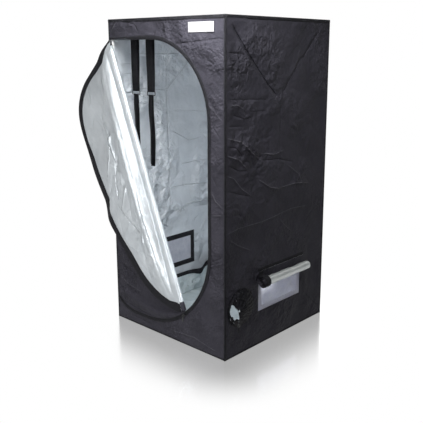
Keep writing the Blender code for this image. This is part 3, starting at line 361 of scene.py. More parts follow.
def facets(tree, place, scale):
    """Crumpled cloth: the smooth distance to the cells of a warped Voronoi pattern, patchy from place to
    place."""
    warp = noise(tree, place, scale * 0.6, 3.0, output="Color")
    bent = add_node(tree, "VectorMath", {0: warp, 1: (0.09, 0.09, 0.09)}, operation="MULTIPLY")
    moved = add_node(tree, "VectorMath", {0: place, 1: bent.outputs[0]}, operation="ADD")
    inputs = {"Vector": moved.outputs[0], "Scale": scale, "Smoothness": 0.35}
    cells = add_node(tree, "TexVoronoi", inputs, feature="SMOOTH_F1").outputs["Distance"]
    return calc(tree, "MULTIPLY", cells, ranged(tree, noise(tree, place, 4.5, 1.0), 0.0, 1.0, 0.42, 0.66))


def toned(tree, share, under, tone):
    """A colour with a share of one plain tone laid over it."""
    return add_node(tree, "Mix", {0: share, 6: under, 7: (*tone, 1)}, data_type="RGBA").outputs[2]


def oxford_cloth(name, dark, light, worn, level=0.06):
    """Black oxford: a 1 mm basket weave over every face, soft cloudy dye, crumpled patches and scuffed
    folds."""
    material, tree, shader = new_finish(name, light, 0.5, {"Specular IOR Level": level})
    place = object_place(tree)
    axes = axes_of(tree, place)
    weave = threads(tree, calc(tree, "ADD", axes["X"], axes["Y"]), axes["Z"], 0.0011)
    colour, cloud = mottle(tree, place, 7.0, dark, light)
    crest, valley, ridge = crease_line(tree)
    scuff = ranged(tree, noise(tree, place, 30.0, 3.0), 0.0, 0.9)
    colour = toned(tree, calc(tree, "MULTIPLY", crest, scuff), colour, worn)
    # Painted shade: the valley line of each fold is darkened to a third of the cloth's dark tone.
    colour = toned(tree, valley, colour, [0.35 * c for c in dark])
    tree.links.new(colour, shader.inputs["Base Color"])
    tree.links.new(ranged(tree, cloud, 0.42, 0.60), shader.inputs["Roughness"])
    layers = [(facets(tree, place, 16.0), 0.018, 0.9), (facets(tree, place, 41.0), 0.009, 0.9),
              (ridge, 0.0022, 1.0)]
    layers += [(noise(tree, place, 38.0, 6.0, 0.62), 0.008, 0.6), (weave, 0.0002, 0.35)]
    bumps(tree, shader, layers)
    return material


def silver_lining(name, dark, light, metallic, roughness, crumpled=1.0):
    """Silver film on the cloth: a metallised skin with a fine pebbled grain, crumpled patches and sharp
    folds."""
    material, tree, shader = new_finish(name, light, roughness, {"Metallic": metallic})
    place = object_place(tree)
    colour, cloud = mottle(tree, place, 9.0, dark, light, 6.0)
    crest, valley, ridge = crease_line(tree)
    # Each fold's crease line is darkened: painted shade along the valleys, crease marks of the film along the
    # crests.
    colour = toned(tree, calc(tree, "MAXIMUM", crest, valley), colour, [0.45 * c for c in dark])
    tree.links.new(colour, shader.inputs["Base Color"])
    tree.links.new(ranged(tree, cloud, roughness - 0.06, roughness + 0.08), shader.inputs["Roughness"])
    grain = add_node(tree, "TexVoronoi", {"Vector": place, "Scale": 420.0}).outputs["Distance"]
    layers = [(facets(tree, place, 15.0), 0.034 * crumpled, 1.0),
              (facets(tree, place, 37.0), 0.008 * crumpled, 1.0)]
    layers += [(ridge, 0.0014 + 0.0026 * crumpled, 1.0)]
    layers += [(noise(tree, place, 26.0, 7.0, 0.6), 0.004 + 0.004 * crumpled, 0.6), (grain, 0.0006, 0.3)]
    bumps(tree, shader, layers)
    return material


black_oxford = oxford_cloth("black_oxford", (0.034, 0.033, 0.042), (0.053, 0.051, 0.064), (0.23, 0.23, 0.25))
silver_film = silver_lining("silver_film", (0.52, 0.56, 0.60), (0.64, 0.68, 0.72), 0.35, 0.42)
LINED = [black_oxford, silver_film]

DOOR_LEFT, DOOR_RIGHT = -0.385, 0.298
DOOR_BOTTOM, DOOR_TOP = 0.07, 1.505
UPPER_RADIUS, LOWER_RADIUS, HEEL_RADIUS = 0.383, 0.45, 0.2000
UPPER_CENTRE = np.array([DOOR_RIGHT - UPPER_RADIUS, DOOR_TOP - UPPER_RADIUS])
LOWER_CENTRE = np.array([DOOR_RIGHT - LOWER_RADIUS, DOOR_BOTTOM + LOWER_RADIUS])
HEEL_CENTRE = np.array([-0.24986, DOOR_BOTTOM + HEEL_RADIUS])
DOOR_MIDDLE = np.array([-0.06, 0.80])
PANEL_LOW, PANEL_HIGH = CLOTH + SEAM_GAP, TENT_HEIGHT - CLOTH - SEAM_GAP
RIM_POINTS, DENSE_POINTS = 560, 4000


def arc_points(centre, radius, start, end, count):
    """Points on an arc: centre + radius * (cos a, sin a), with a in even steps from start to end."""
    turn = np.linspace(start, end, count)
    return np.stack([centre[0] + radius * np.cos(turn), centre[1] + radius * np.sin(turn)], -1)


def doorway(offset):
    """The doorway's zipped edge from its upper left end round to its lower left end, moved outwards."""
    heel_end = math.acos((HEEL_CENTRE[0] - DOOR_LEFT) / (HEEL_RADIUS + offset)) - math.pi
    upper = arc_points(UPPER_CENTRE, UPPER_RADIUS + offset, math.pi / 2, 0, 90)
    lower = arc_points(LOWER_CENTRE, LOWER_RADIUS + offset, 0, -math.pi / 2, 110)
    heel = arc_points(HEEL_CENTRE, HEEL_RADIUS + offset, -math.pi / 2, heel_end, 40)
    return np.concatenate([[(DOOR_LEFT, DOOR_TOP + offset)], upper, lower, heel])


def way_along(path):
    """How far each point of a path lies from its start along it."""
    return np.concatenate([[0], np.cumsum(np.linalg.norm(np.diff(path, axis=0), axis=1))])


def even_points(path, count):
    """That many points at even steps along a path of straight stretches."""
    way = way_along(path)
    even = np.linspace(0, way[-1], count)
    return np.stack([np.interp(even, way, path[:, axis]) for axis in range(path.shape[1])], -1)


dense_door = even_points(np.concatenate([doorway(0), [(DOOR_LEFT, DOOR_TOP)]]), DENSE_POINTS)
door_turn = np.unwrap(np.arctan2(dense_door[:, 1] - DOOR_MIDDLE[1], dense_door[:, 0] - DOOR_MIDDLE[0]))
door_reach = np.linalg.norm(dense_door - DOOR_MIDDLE, axis=1)
rim_turn = np.interp(np.arange(RIM_POINTS), np.arange(DENSE_POINTS) * RIM_POINTS / (DENSE_POINTS - 1),
                     door_turn)
for corner in ((-TENT_HALF, PANEL_LOW), (TENT_HALF, PANEL_LOW), (TENT_HALF, PANEL_HIGH),
               (-TENT_HALF, PANEL_HIGH)):
    aim = math.atan2(corner[1] - DOOR_MIDDLE[1], corner[0] - DOOR_MIDDLE[0])
    off = (rim_turn - aim + math.pi) % (2 * math.pi) - math.pi
    nearest_ray = np.abs(off).argmin()
    rim_turn[nearest_ray] -= off[nearest_ray]
rays = np.stack([np.cos(rim_turn), np.sin(rim_turn)], -1)
inner_reach = np.interp(-rim_turn, -door_turn, door_reach)
room = np.where(rays > 0, [TENT_HALF, PANEL_HIGH], [-TENT_HALF, PANEL_LOW]) - DOOR_MIDDLE
with np.errstate(divide="ignore"):
    outer_reach = np.min(np.where(np.abs(rays) > 1e-9, room / rays, np.inf), axis=1)
reach = inner_reach + (outer_reach - inner_reach) * np.linspace(0, 1, 31)[:, None]
x, z = DOOR_MIDDLE[0] + reach * rays[:, 0], DOOR_MIDDLE[1] + reach * rays[:, 1]
front_folds = [
    (8, -3.4, 50, 1478, 122, 1481, 363, 1501, 399, 1496),
    (7, -3.0, 321, 1443, 393, 1435),
    (8, 7.0, -386, 1531, -330, 1589),
    (9, -6.0, -300, 1590, -200, 1575, -160, 1525),
    (8, -3.2, 301, 1247, 363, 1156),
    (8, 3.4, 246, 1258, 386, 1138),
    (8, -3.4, 310, 1130, 372, 1060),
    (8, -3.6, 312, 906, 365, 823),
    (8, 3.4, 306, 830, 340, 775, 392, 742),
    (7, 3.0, 305, 700, 390, 716),
    (7, -2.8, 300, 470, 392, 520),
    (9, 3.0, 20, 45, 200, 60, 360, 30),
    (8, -2.6, -300, 40, -100, 32),
]
front_crumples = [
    ((0.34, 1.0), (0.05, 0.45), 46, 0.05, 0.0036, 11, 0.3),
    ((0.1, 0.08), (0.25, 0.06), 24, 0.06, 0.0026, 12),
    ((0.15, 1.53), (0.25, 0.03), 20, 0.05, 0.0026, 13),
    ((-0.26, 1.555), (0.13, 0.04), 26, 0.05, 0.0050, 15),
]
height, crease = relief(x, z, front_folds, front_crumples, (0.0034, 14))
edge = np.minimum(TENT_HALF - np.abs(x), np.minimum(z, TENT_HEIGHT - z))
doorway_fade = smooth((reach - inner_reach) / 0.03)
crease[..., 2] *= doorway_fade
y = -TENT_HALF - height * smooth(edge / 0.035) * doorway_fade
front_cloth = surface("front_cloth", stacked(x, y, z), LINED, "front_panel", CLOTH,
                      turned="rows",
                      closed=True, crease=crease)

# Side and back walls: the same cloth. The side walls have a window near the floor, the right wall a low round
# port beside it and the back wall a port near its top. The creases follow the fold pattern of the carton.

GRID_STEP = 0.006
WINDOW_FRONT, WINDOW_REAR = -0.155, 0.19
WINDOW_SILL, WINDOW_HEAD = 0.178, 0.37
RIGHT_PORT_PLACE, RIGHT_PORT_RADIUS = (-0.288, 0.24), 0.088
BACK_PORT_PLACE, BACK_PORT_RADIUS = (-0.20, 1.40), 0.100
SIDE_RUN = TENT_HALF - CLOTH - SEAM_GAP


def grid(u_line, v_line):
    """Two lines of values spread over a grid, the first along its rows."""
    return np.meshgrid(u_line, v_line, indexing="ij")


def grid_lines(stops):
    """Grid lines through every stop, with even steps of about 6 mm between them."""
    runs = [np.linspace(a, b, max(2, round((b - a) / GRID_STEP) + 1))[:-1] for a, b in zip(stops, stops[1:])]
    return np.concatenate(runs + [[stops[-1]]])


def off_rectangle(u, v, low, high):
    """How far a point lies outside a rectangle, and 0 inside it."""
    du = np.maximum(0, np.maximum(low[0] - u, u - high[0]))
    dv = np.maximum(0, np.maximum(low[1] - v, v - high[1]))
    return np.hypot(du, dv)


def wall(name, node, to_space, shape, run, window=True, port=None, turned=None, crease_reach=1.0):
    """One wall: a grid over its height and depth, moved out by its relief, less its window and its round
    port.

    Points near the port's circle move onto it. The relief fades to nothing at the seams, the window and the
    port."""
    u_stops = [-run, WINDOW_FRONT, WINDOW_REAR, run] if window else [-run, 0, run]
    u, v = grid(grid_lines(u_stops), grid_lines([PANEL_LOW, WINDOW_SILL, WINDOW_HEAD, PANEL_HIGH]))
    middle_u = (u[1:, 1:] + u[:-1, :-1]) / 2
    middle_v = (v[1:, 1:] + v[:-1, :-1]) / 2
    keep = np.ones_like(middle_u, bool)
    fade = np.ones_like(u)
    if window:
        inside = (middle_u > WINDOW_FRONT) & (middle_u < WINDOW_REAR)
        keep &= ~(inside & (middle_v > WINDOW_SILL) & (middle_v < WINDOW_HEAD))
        fade *= smooth(off_rectangle(u, v, (WINDOW_FRONT - 0.02, 0.15), (WINDOW_REAR + 0.03, 0.40)) / 0.05)
    if port:
        place, radius = port
        far = np.maximum(1e-6, np.hypot(u - place[0], v - place[1]))
        pull = np.where(np.abs(far - radius) < 0.62 * GRID_STEP, radius / far, 1)
        u, v = place[0] + (u - place[0]) * pull, place[1] + (v - place[1]) * pull
        far = np.hypot(u - place[0], v - place[1])
        corners = [far[1:, 1:], far[1:, :-1], far[:-1, 1:], far[:-1, :-1]]
        keep &= np.max(corners, axis=0) > radius + 0.0005
        fade *= smooth((far - radius - 0.012) / 0.04)
    height, crease = relief(u, v, *shape)
    crease[..., 2] *= np.where(crease[..., 1] < crease_reach, 1, 0) * fade
    edge = np.minimum(run - np.abs(u), np.minimum(v - PANEL_LOW, PANEL_HIGH - v))
    sides = np.where(height > 0, smooth(edge / 0.03), smooth((edge - 0.02) / 0.05))
    points = to_space(u, v, height * sides * fade)
    return surface(name, points, LINED, node, CLOTH, turned=turned, keep=keep, crease=crease)


# Right wall: a wide V from both top corners to the middle, its centre fold, and the crumpled band.
right_folds = [
    (10, -11.0, -360, 1565, -247, 1440, -105, 1296, -19, 1228),
    (9, -7.0, 310, 1545, 190, 1421, 140, 1398, 54, 1300, 0, 1232),
    (8, 3.0, 160, 1470, 110, 1380, 54, 1319),
    (8, -3.4, -10, 1240, -6, 1107, 4, 900),
    (8, -3.2, -398, 1441, -264, 1435),
    (8, 2.6, -398, 1385, -304, 1372),
    (8, -3.0, -394, 1239, -94, 1225),
    (9, 4.4, -384, 1207, -320, 1212, -250, 1180),
    (9, -4.0, -370, 1176, -260, 1144, -200, 1150),
    (8, -3.0, -243, 1176, -100, 1172),
    (10, -5.6, -390, 1122, -259, 1111),
    (10, 6.0, -390, 1070, -284, 1041, -200, 975, -140, 938),
    (9, -5.6, -392, 1031, -325, 1018, -262, 965),
    (9, 5.6, -395, 993, -300, 959, -240, 900),
    (9, -5.6, -386, 948, -299, 909, -230, 905),
    (9, 4.4, -158, 975, -36, 956, 40, 975),
    (9, -5.0, -140, 940, -10, 930, 120, 900),
    (10, 5.6, -392, 899, -340, 880, -281, 820, -200, 770),
    (9, 5.6, -176, 856, -80, 800, -15, 784, 120, 790, 260, 773),
    (9, -4.4, -390, 830, -300, 800, -210, 774),
    (8, 3.6, 50, 900, 160, 830, 200, 760),
    (7, 3.6, -393, 624, -311, 638, -143, 638, -24, 648, 111, 659, 256, 653),
    (6, 3.2, -1, 629, 59, 575, 136, 521),
    (6, 3.4, -367, 595, -310, 556, -202, 504),
    (9, -3.6, 209, 186, 395, 36),
]
right_crumples = [
    ((-0.24, 0.97), (0.12, 0.14), 120, 0.045, 0.0060, 21, 0.1),
    ((0.06, 0.88), (0.18, 0.16), 70, 0.05, 0.0034, 22, 0.1),
    ((0.0, 1.30), (0.30, 0.15), 50, 0.05, 0.0020, 23),
    ((0.0, 0.45), (0.30, 0.20), 40, 0.05, 0.0012, 24),
]
right_cloth = wall("right_wall_cloth", "right_wall", lambda y, z, out: stacked(TENT_HALF + out, y, z),
                   (right_folds, right_crumples, (0.0040, 25)), SIDE_RUN,
                   port=(RIGHT_PORT_PLACE, RIGHT_PORT_RADIUS),
                   crease_reach=0.02)

# Left wall, seen on its silver side: the same carton pattern, raised towards the inside.
left_folds = [
    (8, -4.4, 2, 1440, -3, 1220, -1, 989, 4, 770, 3, 500),
    (8, -4.2, 310, 1540, 147, 1370, -7, 1231),
    (7, 3.4, -340, 1382, -240, 1381),
    (8, 2.6, -340, 1326, -260, 1330, -262, 1254, 0, 1228),
    (7, -3.4, -320, 1229, -136, 1229),
    (7, 2.4, -300, 1430, 280, 1428),
    (7, -2.4, -260, 1169, -196, 1169, -100, 1150),
    (7, 2.8, -102, 1107, -60, 1072),
    (7, 3.0, -22, 921, 14, 850, 24, 800),
    (7, -3.4, 88, 795, 200, 800, 320, 798),
    (7, -4.4, 1, 668, 130, 668, 320, 650),
    (7, 3.0, -177, 842, -48, 842),
    (7, -2.6, 95, 771, 125, 720, 110, 665),
    (7, 4.4, 40, 500, 118, 545, 186, 552, 320, 540),
    (7, -4.0, 62, 500, 100, 530, 130, 490),
    (7, -2.6, -120, 784, -102, 704, -83, 630),
    (8, 4.6, -100, 500, -67, 468, 6, 429),
    (7, -4.0, 173, 394, 200, 440, 250, 470),
    (7, 3.4, 250, 360, 303, 430),
    (8, 3.0, 20, 1000, 160, 930, 270, 940),
    (7, -2.4, 30, 1120, 300, 1090),
]
left_crumples = [
    ((0.12, 0.85), (0.16, 0.18), 80, 0.055, 0.0036, 31),
    ((0.0, 1.30), (0.26, 0.16), 60, 0.05, 0.0026, 32),
    ((0.1, 0.48), (0.20, 0.07), 60, 0.05, 0.0046, 33, 0.6),
]
left_cloth = wall("left_wall_cloth", "left_wall", lambda y, z, out: stacked(-TENT_HALF - out, y, z),
                  (left_folds, left_crumples, (0.0036, 34)), SIDE_RUN, turned="rows")

# Back wall: a centre line, two level lines and slack.
back_folds = [
    (8, 3.2, 0, 1560, 2, 900, 0, 50),
    (8, 3.0, -380, 1066, 380, 1066),
    (8, 3.2, -380, 533, 380, 535),
    (9, 3.0, 360, 1520, 180, 1300, 20, 1080),
    (8, -2.8, -100, 950, -280, 720, -360, 600),
]
back_crumples = [((0.0, 0.80), (0.24, 0.35), 120, 0.055, 0.0030, 41)]
back_cloth = wall("back_wall_cloth", "back_wall", lambda x, z, out: stacked(x, TENT_HALF + out, z),
                  (back_folds, back_crumples, (0.0036, 42)), TENT_HALF, window=False,
                  port=(BACK_PORT_PLACE, BACK_PORT_RADIUS), turned="rows")

# Roof and floor panels: plain squares of the same cloth, sewn to the walls all round. The roof rests on the
# top rails and sags a little between them; the floor lies flat.

ROOF_SAG = 0.0012
x, y = grid(*[np.linspace(-TENT_HALF, TENT_HALF, 121)] * 2)
roof_folds = [(8, 2.5, -380, 0, 380, 2), (8, 2.5, 0, -380, 2, 380), (6, -1.5, -200, -380, -198, 380)]
height, crease = relief(x, y, roof_folds, [((0.0, 0.0), (0.22, 0.22), 60, 0.06, 0.0018, 51)])
edge = np.minimum(TENT_HALF - np.abs(x), TENT_HALF - np.abs(y))
dip = ROOF_SAG * (1 - (x / TENT_HALF) ** 2) * (1 - (y / TENT_HALF) ** 2)
z = TENT_HEIGHT + np.maximum(height, -0.0005) * smooth((edge - 0.02) / 0.04) - dip
roof_cloth = surface("roof_cloth", stacked(x, y, z), LINED, "roof_panel", CLOTH, crease=crease)
x, y = grid(*[np.linspace(-TENT_HALF, TENT_HALF, 41)] * 2)
floor_cloth = surface("floor_cloth", stacked(x, y, 0.0), LINED, "floor_panel", CLOTH,
                      turned="rows")

# Seams: the twelve edges of the box are bound in a folded strip of tape, run round the corner and
# lockstitched through both panels.

TAPE_BLACK = (0.011, 0.011, 0.013)
BLOCK_CORNERS = np.array([(x, y, z) for x in (-1, 1) for y in (-1, 1) for z in (-1, 1)]) / 2
BLOCK_FACES = np.array([(0, 1, 3, 2), (4, 6, 7, 5), (0, 4, 5, 1), (2, 3, 7, 6), (0, 2, 6, 4), (1, 5, 7, 3)])
STITCH = (0.0030, 0.0006, 0.0005)
BINDING_LAP, ROOF_LAP, BINDING_TURN, BINDING_PROUD = 0.009, 0.016, 0.002, 0.0009


def clouded(name, colour, roughness, sockets, scale, dark, light, shine=None):
    """A new material of two cloudy tones, whose roughness may follow the clouds between two numbers."""
    material, tree, shader = new_finish(name, colour, roughness, sockets)
    place = object_place(tree)
    tone, cloud = mottle(tree, place, scale, dark, light)
    tree.links.new(tone, shader.inputs["Base Color"])
    if shine:
        tree.links.new(ranged(tree, cloud, *shine), shader.inputs["Roughness"])
    return material, tree, shader, place, cloud


def ribbed_tape(name, colour, light, pitch, roughness=0.62):
    """Woven binding tape: ribs across it every pitch of its own length (UV, in metres), over a fine weave."""
    shine = (roughness - 0.12, roughness + 0.1)
    made = clouded(name, colour, roughness, {"Specular IOR Level": 0.08}, 60.0, colour, light, shine)
    material, tree, shader, _, cloud = made
    axes = axes_of(tree, add_node(tree, "UVMap", uv_map="UVMap").outputs[0])
    bumps(tree, shader, [(cloud, 0.002, 0.4), (threads(tree, axes["X"], axes["Y"], pitch), 0.0003, 0.5)])
    return material


def plain_thread(name, colour):
    """Sewing thread: matt, with the light and dark of its twist."""
    dark, light = (tuple(min(1, share * c) for c in colour) for share in (0.6, 1.3))
    material, tree, shader, _, cloud = clouded(name, colour, 0.7, {"Specular IOR Level": 0.3}, 900.0, dark,
                                               light)
    bumps(tree, shader, [(cloud, 0.0004, 0.5)])
    return material


def unit(vectors):
    """Vectors cut to a length of one."""
    return vectors / np.maximum(1e-12, np.linalg.norm(vectors, axis=-1, keepdims=True))


def small_blocks(name, middles, along, out, size, material, body="tent", slot="black_tape"):
    """One small block at each middle, turned along its own direction, its outer face tapered to seven
    tenths."""
    along = unit(np.broadcast_to(along, middles.shape))
    out = unit(np.broadcast_to(out, middles.shape))
    frames = np.stack([along, np.cross(out, along), out], 1)
    corners = BLOCK_CORNERS * np.array(size) * np.where(BLOCK_CORNERS[:, 2:] > 0, [0.7, 0.7, 1], 1)
    points = middles[:, None] + sum(corners[None, :, k : k + 1] * frames[:, None, k] for k in range(3))
    faces = (BLOCK_FACES[None] + 8 * np.arange(len(middles))[:, None, None]).reshape(-1, 4)
    made = mesh_piece(name, points, faces, [material], body)
    return made


def spaced(path, pitch):
    """Points every pitch along a path, and the path's direction at each."""
    length = np.linalg.norm(np.diff(path, axis=0), axis=1).sum()
    ends = even_points(path, 2 * max(2, int(length / pitch)) + 1)
    return ends[1::2], ends[2::2] - ends[:-1:2]


def sew(name, paths, out, thread, pitch=0.0045, size=STITCH, body="tent", slot="black_tape"):
    """A row of stitches along each path, two thirds thread; out is the rows' outward side, or one side for
    each."""
    middles, along = zip(*[spaced(np.array(path, float), pitch) for path in paths])
    sides = [np.broadcast_to(side, row.shape) for row,
             side in zip(middles, np.broadcast_to(out, (len(paths), 3)))]
    rows = [np.concatenate(part) for part in (middles, along, sides)]
    return small_blocks(name, *rows, size, thread, body, slot)


black_tape = ribbed_tape("black_tape", TAPE_BLACK, (0.022, 0.022, 0.026), 0.0012)
black_thread = plain_thread("black_thread", (0.008, 0.008, 0.009))
seam_thread = plain_thread("grey_thread", (0.07, 0.07, 0.078))


def seam_binding(start, end, side_a, side_b):
    """Tape round one edge: from 9 mm (16 mm at the roof) along one panel, round the corner on a 2 mm
    radius, to as far along the other."""
    lap = ROOF_LAP if min(start[2], end[2]) > 1 else BINDING_LAP
    radius, proud = BINDING_TURN, BINDING_PROUD
    turn = np.linspace(0, math.pi / 2, 6)[:, None]
    corner = radius * (side_a + side_b) - (radius + proud) * (side_b * np.cos(turn) + side_a * np.sin(turn))
    inward = np.linspace(lap, radius + 0.0005, 4)[:, None]
    lift = np.array([[0.0002], [proud], [proud], [proud]])
    flat_a = side_a * inward - side_b * lift
    flat_b = side_b * inward[::-1] - side_a * lift[::-1]
    profile = np.concatenate([flat_a, corner, flat_b])
    way = np.linspace(0, 1, 60)[:, None]
    points = (start + (end - start) * way)[:, None] + profile[None]
    uv = stacked(way * np.linalg.norm(end - start), way_along(profile))
    facing = np.cross(end - start, profile[-1] - profile[0]) @ (side_a + side_b)
    return points, uv, None if facing < 0 else "rows"


seam_edges = []
for x in (-1, 1):
    for y in (-1, 1):
        seam_edges.append(((x, y, 0), (x, y, 1), (-x, 0, 0), (0, -y, 0)))
    for z in (-1, 1):
        seam_edges.append(((x, -1, (z + 1) / 2), (x, 1, (z + 1) / 2), (-x, 0, 0), (0, 0, -z)))
for y in (-1, 1):
    for z in (-1, 1):
        seam_edges.append(((-1, y, (z + 1) / 2), (1, y, (z + 1) / 2), (0, -y, 0), (0, 0, -z)))
seam_rows, seam_sides = [], []
for number, edge in enumerate(seam_edges):
    start, end, side_a, side_b = np.array(edge, float) * ([[TENT_HALF, TENT_HALF, TENT_HEIGHT]] * 2
                                                          + [[1, 1, 1]] * 2)
    points, uv, turned = seam_binding(start, end, side_a, side_b)
    points[..., 2] = np.maximum(points[..., 2], 0)
    surface(f"seam_binding_{number:02d}", points, [black_tape], None, 0.0006, turned=turned,
            uv=uv)
    for near, far in ((side_a, side_b), (side_b, side_a)):
        lift = near * 0.0065 - far * 0.0013
        if far[2] != 1:
            seam_rows.append((start + lift, end + lift))
            seam_sides.append(-far)
sew("seam_stitching", seam_rows, seam_sides, seam_thread, 0.006)

# Doorway binding: the zip's tape lies on the front panel along the whole D, under a crowned rain strip with
# two rows of stitching. The coil's teeth stand along its inner edge.


def offset_line(offset):
    """Even points along the doorway's edge, moved outwards in its own plane, and the way outwards at each."""
    path = even_points(doorway(0), 620)
    along = unit(np.gradient(path, axis=0))
    outward = np.stack([-along[:, 1], along[:, 0]], -1)
    outward *= np.sign(((path - DOOR_MIDDLE) * outward).sum(-1, keepdims=True))
    return path + outward * offset, outward


def band_height(share):
    """The rain strip's crown: flat edges that rise to 1.6 mm on a half sine."""
    return 0.0004 + 0.0016 * np.sin(math.pi * share) ** 0.7


def in_front(flat, y):
    """Points of the door's plane set at a depth y."""
    return stacked(flat[..., 0], y, flat[..., 1])


band_share = np.linspace(0, 1, 9)
band_offsets = -0.004 + 0.018 * band_share
band_path, band_out = offset_line(0)
band_width = 0.5 + 0.5 * smooth((band_path[:, 0] + 0.33) / 0.22)
band_width = np.where(band_path[:, 1] > DOOR_TOP - 0.15, band_width, 1.0)
band_flat = band_path[:, None] + band_out[:, None] * (band_width[:, None] * band_offsets)[..., None]
band_length = np.linspace(0, 1, len(band_path)) * np.linalg.norm(np.diff(band_path, axis=0), axis=1).sum()
ripple = 0.0003 * np.sin(band_length / 0.011) * np.sin(band_length / 0.037 + 1)
band_points = in_front(band_flat, -TENT_HALF - SEAM_GAP - band_height(band_share) - ripple[:, None])
surface("door_binding", band_points, [black_tape], "zip_tape_frame", 0.0005, turned="columns",
        uv=stacked(band_length[:, None], band_offsets))

door_rows = [in_front(offset_line(off)[0], -TENT_HALF - y) for off, y in ((0.0090, 0.0024), (0.0115, 0.0019))]
sew("door_stitching", door_rows, (0, -1, 0), seam_thread, 0.005)
coil_plastic, tree, shader, _, cloud = clouded("coil_plastic", (0.018, 0.018, 0.02), 0.34, {}, 300.0,
                                               (0.012, 0.012, 0.013), (0.03, 0.03, 0.033))
bumps(tree, shader, [(cloud, 0.0003, 0.3)])
teeth = spaced(in_front(offset_line(-0.0046)[0], -TENT_HALF - 0.0004), 0.0024)
small_blocks("frame_zip_teeth", *teeth, (0, -1, 0), (0.0013, 0.0026, 0.0016), coil_plastic)

# Sewn door panel: the lower left part of the door, which stays zipped in. It hangs slack behind the folded
# flap and puffs out in a soft roll just above the sill.

FOLD_TOP = np.array([DOOR_LEFT, DOOR_TOP])
FOLD_FOOT_ANGLE = math.radians(-49.5)
FOLD_FOOT = LOWER_CENTRE + LOWER_RADIUS * np.array([math.cos(FOLD_FOOT_ANGLE), math.sin(FOLD_FOOT_ANGLE)])
FOLD_LENGTH = np.linalg.norm(FOLD_FOOT - FOLD_TOP)
FOLD_ALONG = (FOLD_FOOT - FOLD_TOP) / FOLD_LENGTH
FOLD_ACROSS = np.array([-FOLD_ALONG[1], FOLD_ALONG[0]])
ZIP_EDGE_GAP = 0.0006

heel_turn = math.acos(-0.13514 / 0.2) - 2 * math.pi
heel = arc_points(HEEL_CENTRE, HEEL_RADIUS - ZIP_EDGE_GAP, heel_turn, -math.pi / 2, 40)
toe = arc_points(LOWER_CENTRE, LOWER_RADIUS - ZIP_EDGE_GAP, -math.pi / 2, FOLD_FOOT_ANGLE, 50)
sewn_edge = np.concatenate([[FOLD_TOP], heel, toe])
sewn_edge[:, 0] = np.maximum(sewn_edge[:, 0], DOOR_LEFT + 0.0004)
outer_line = even_points(sewn_edge, 260)[2:-2]
fold_line = (FOLD_TOP + (FOLD_FOOT - FOLD_TOP) * np.linspace(0, 1, 260)[:, None])[2:-2]
sewn_flat = outer_line[:, None] + (fold_line - outer_line)[:, None] * np.linspace(0, 1, 56)[None, :, None]
x, z = sewn_flat[..., 0], sewn_flat[..., 1]
sewn_folds = [
    (9, -5.0, -372, 428, -262, 347, -150, 246),
    (10, -4.4, -378, 324, -300, 300, -200, 257),
    (8, 3.6, -357, 395, -320, 330, -340, 250),
    (9, 3.6, -378, 245, -300, 215, -180, 190),
    (8, -3.6, -364, 107, -207, 89, -100, 84),
]
height, crease = relief(x, z, sewn_folds, [((-0.25, 0.28), (0.10, 0.10), 60, 0.05, 0.0046, 61, -0.3)])
roll_crest = np.interp(x, [-0.385, -0.326, -0.242, -0.156, -0.051, 0.08],
                       [0.150, 0.166, 0.146, 0.127, 0.120, 0.148])
off_roll = (z - roll_crest) / np.where(z > roll_crest, 0.014, 0.030)
height = height + 0.0105 * np.exp(-(np.abs(off_roll) ** 2.4)) - 0.004 * np.exp(-((off_roll - 2.0) ** 2))
off_edge = np.minimum(*[np.linalg.norm(sewn_flat - line[:, None], axis=-1) for line in (outer_line,
                                                                                        fold_line)])
off_edge = np.minimum(off_edge, (np.minimum(np.arange(256), 255 - np.arange(256)) * 0.006)[:, None])
sewn_points = in_front(sewn_flat, -TENT_HALF - np.clip(height, -0.006, 0.0110) * smooth(off_edge / 0.03))
sewn_cloth = surface("sewn_door_cloth", sewn_points, LINED, "door_sewn_panel", CLOTH,
                     crease=crease)

# Door flap: the rest of the door, folded back along a slanting line with its silver side out. Its free edge
# carries the other half of the zip; a bend of cloth joins it to the sewn part.

FLAP_CLOTH = 0.0008
FOLD_RADIUS, CLOSED_STANDOFF = 0.012, 0.0035
FOLD_AXIS_Y = -TENT_HALF - CLOSED_STANDOFF - FOLD_RADIUS
FLAP_Y, FOLD_BACK_Y = FOLD_AXIS_Y - FOLD_RADIUS, FOLD_AXIS_Y + FOLD_RADIUS
FILM_START, FILM_END = 0.036, FOLD_LENGTH - 0.055


def open_edge(share):
    """The free edge's place when shut, as (x, z), and its outward direction, by share of the way from the
    fold's top: level, round the upper arc, straight down and round the lower arc."""
    level, upper = UPPER_CENTRE[0] - DOOR_LEFT, UPPER_RADIUS * math.pi / 2
    straight, lower = UPPER_CENTRE[1] - LOWER_CENTRE[1], -LOWER_RADIUS * FOLD_FOOT_ANGLE
    runs = [level, upper, straight, lower]
    way = share * sum(runs)
    level, upper, straight, lower = (np.clip(way - sum(runs[:k]), 0, runs[k]) for k in range(4))
    turn = math.pi / 2 - upper / UPPER_RADIUS - lower / LOWER_RADIUS
    outward = np.stack([np.cos(turn), np.sin(turn)], -1)
    radius = np.where(lower > 0, LOWER_RADIUS, UPPER_RADIUS)[..., None]
    hub = np.where((lower > 0)[..., None], LOWER_CENTRE, UPPER_CENTRE)
    slide = np.stack([np.where(lower > 0, 0, level - runs[0]), np.where(lower > 0, 0, -straight)], -1)
    return hub + slide + outward * (radius - ZIP_EDGE_GAP), outward


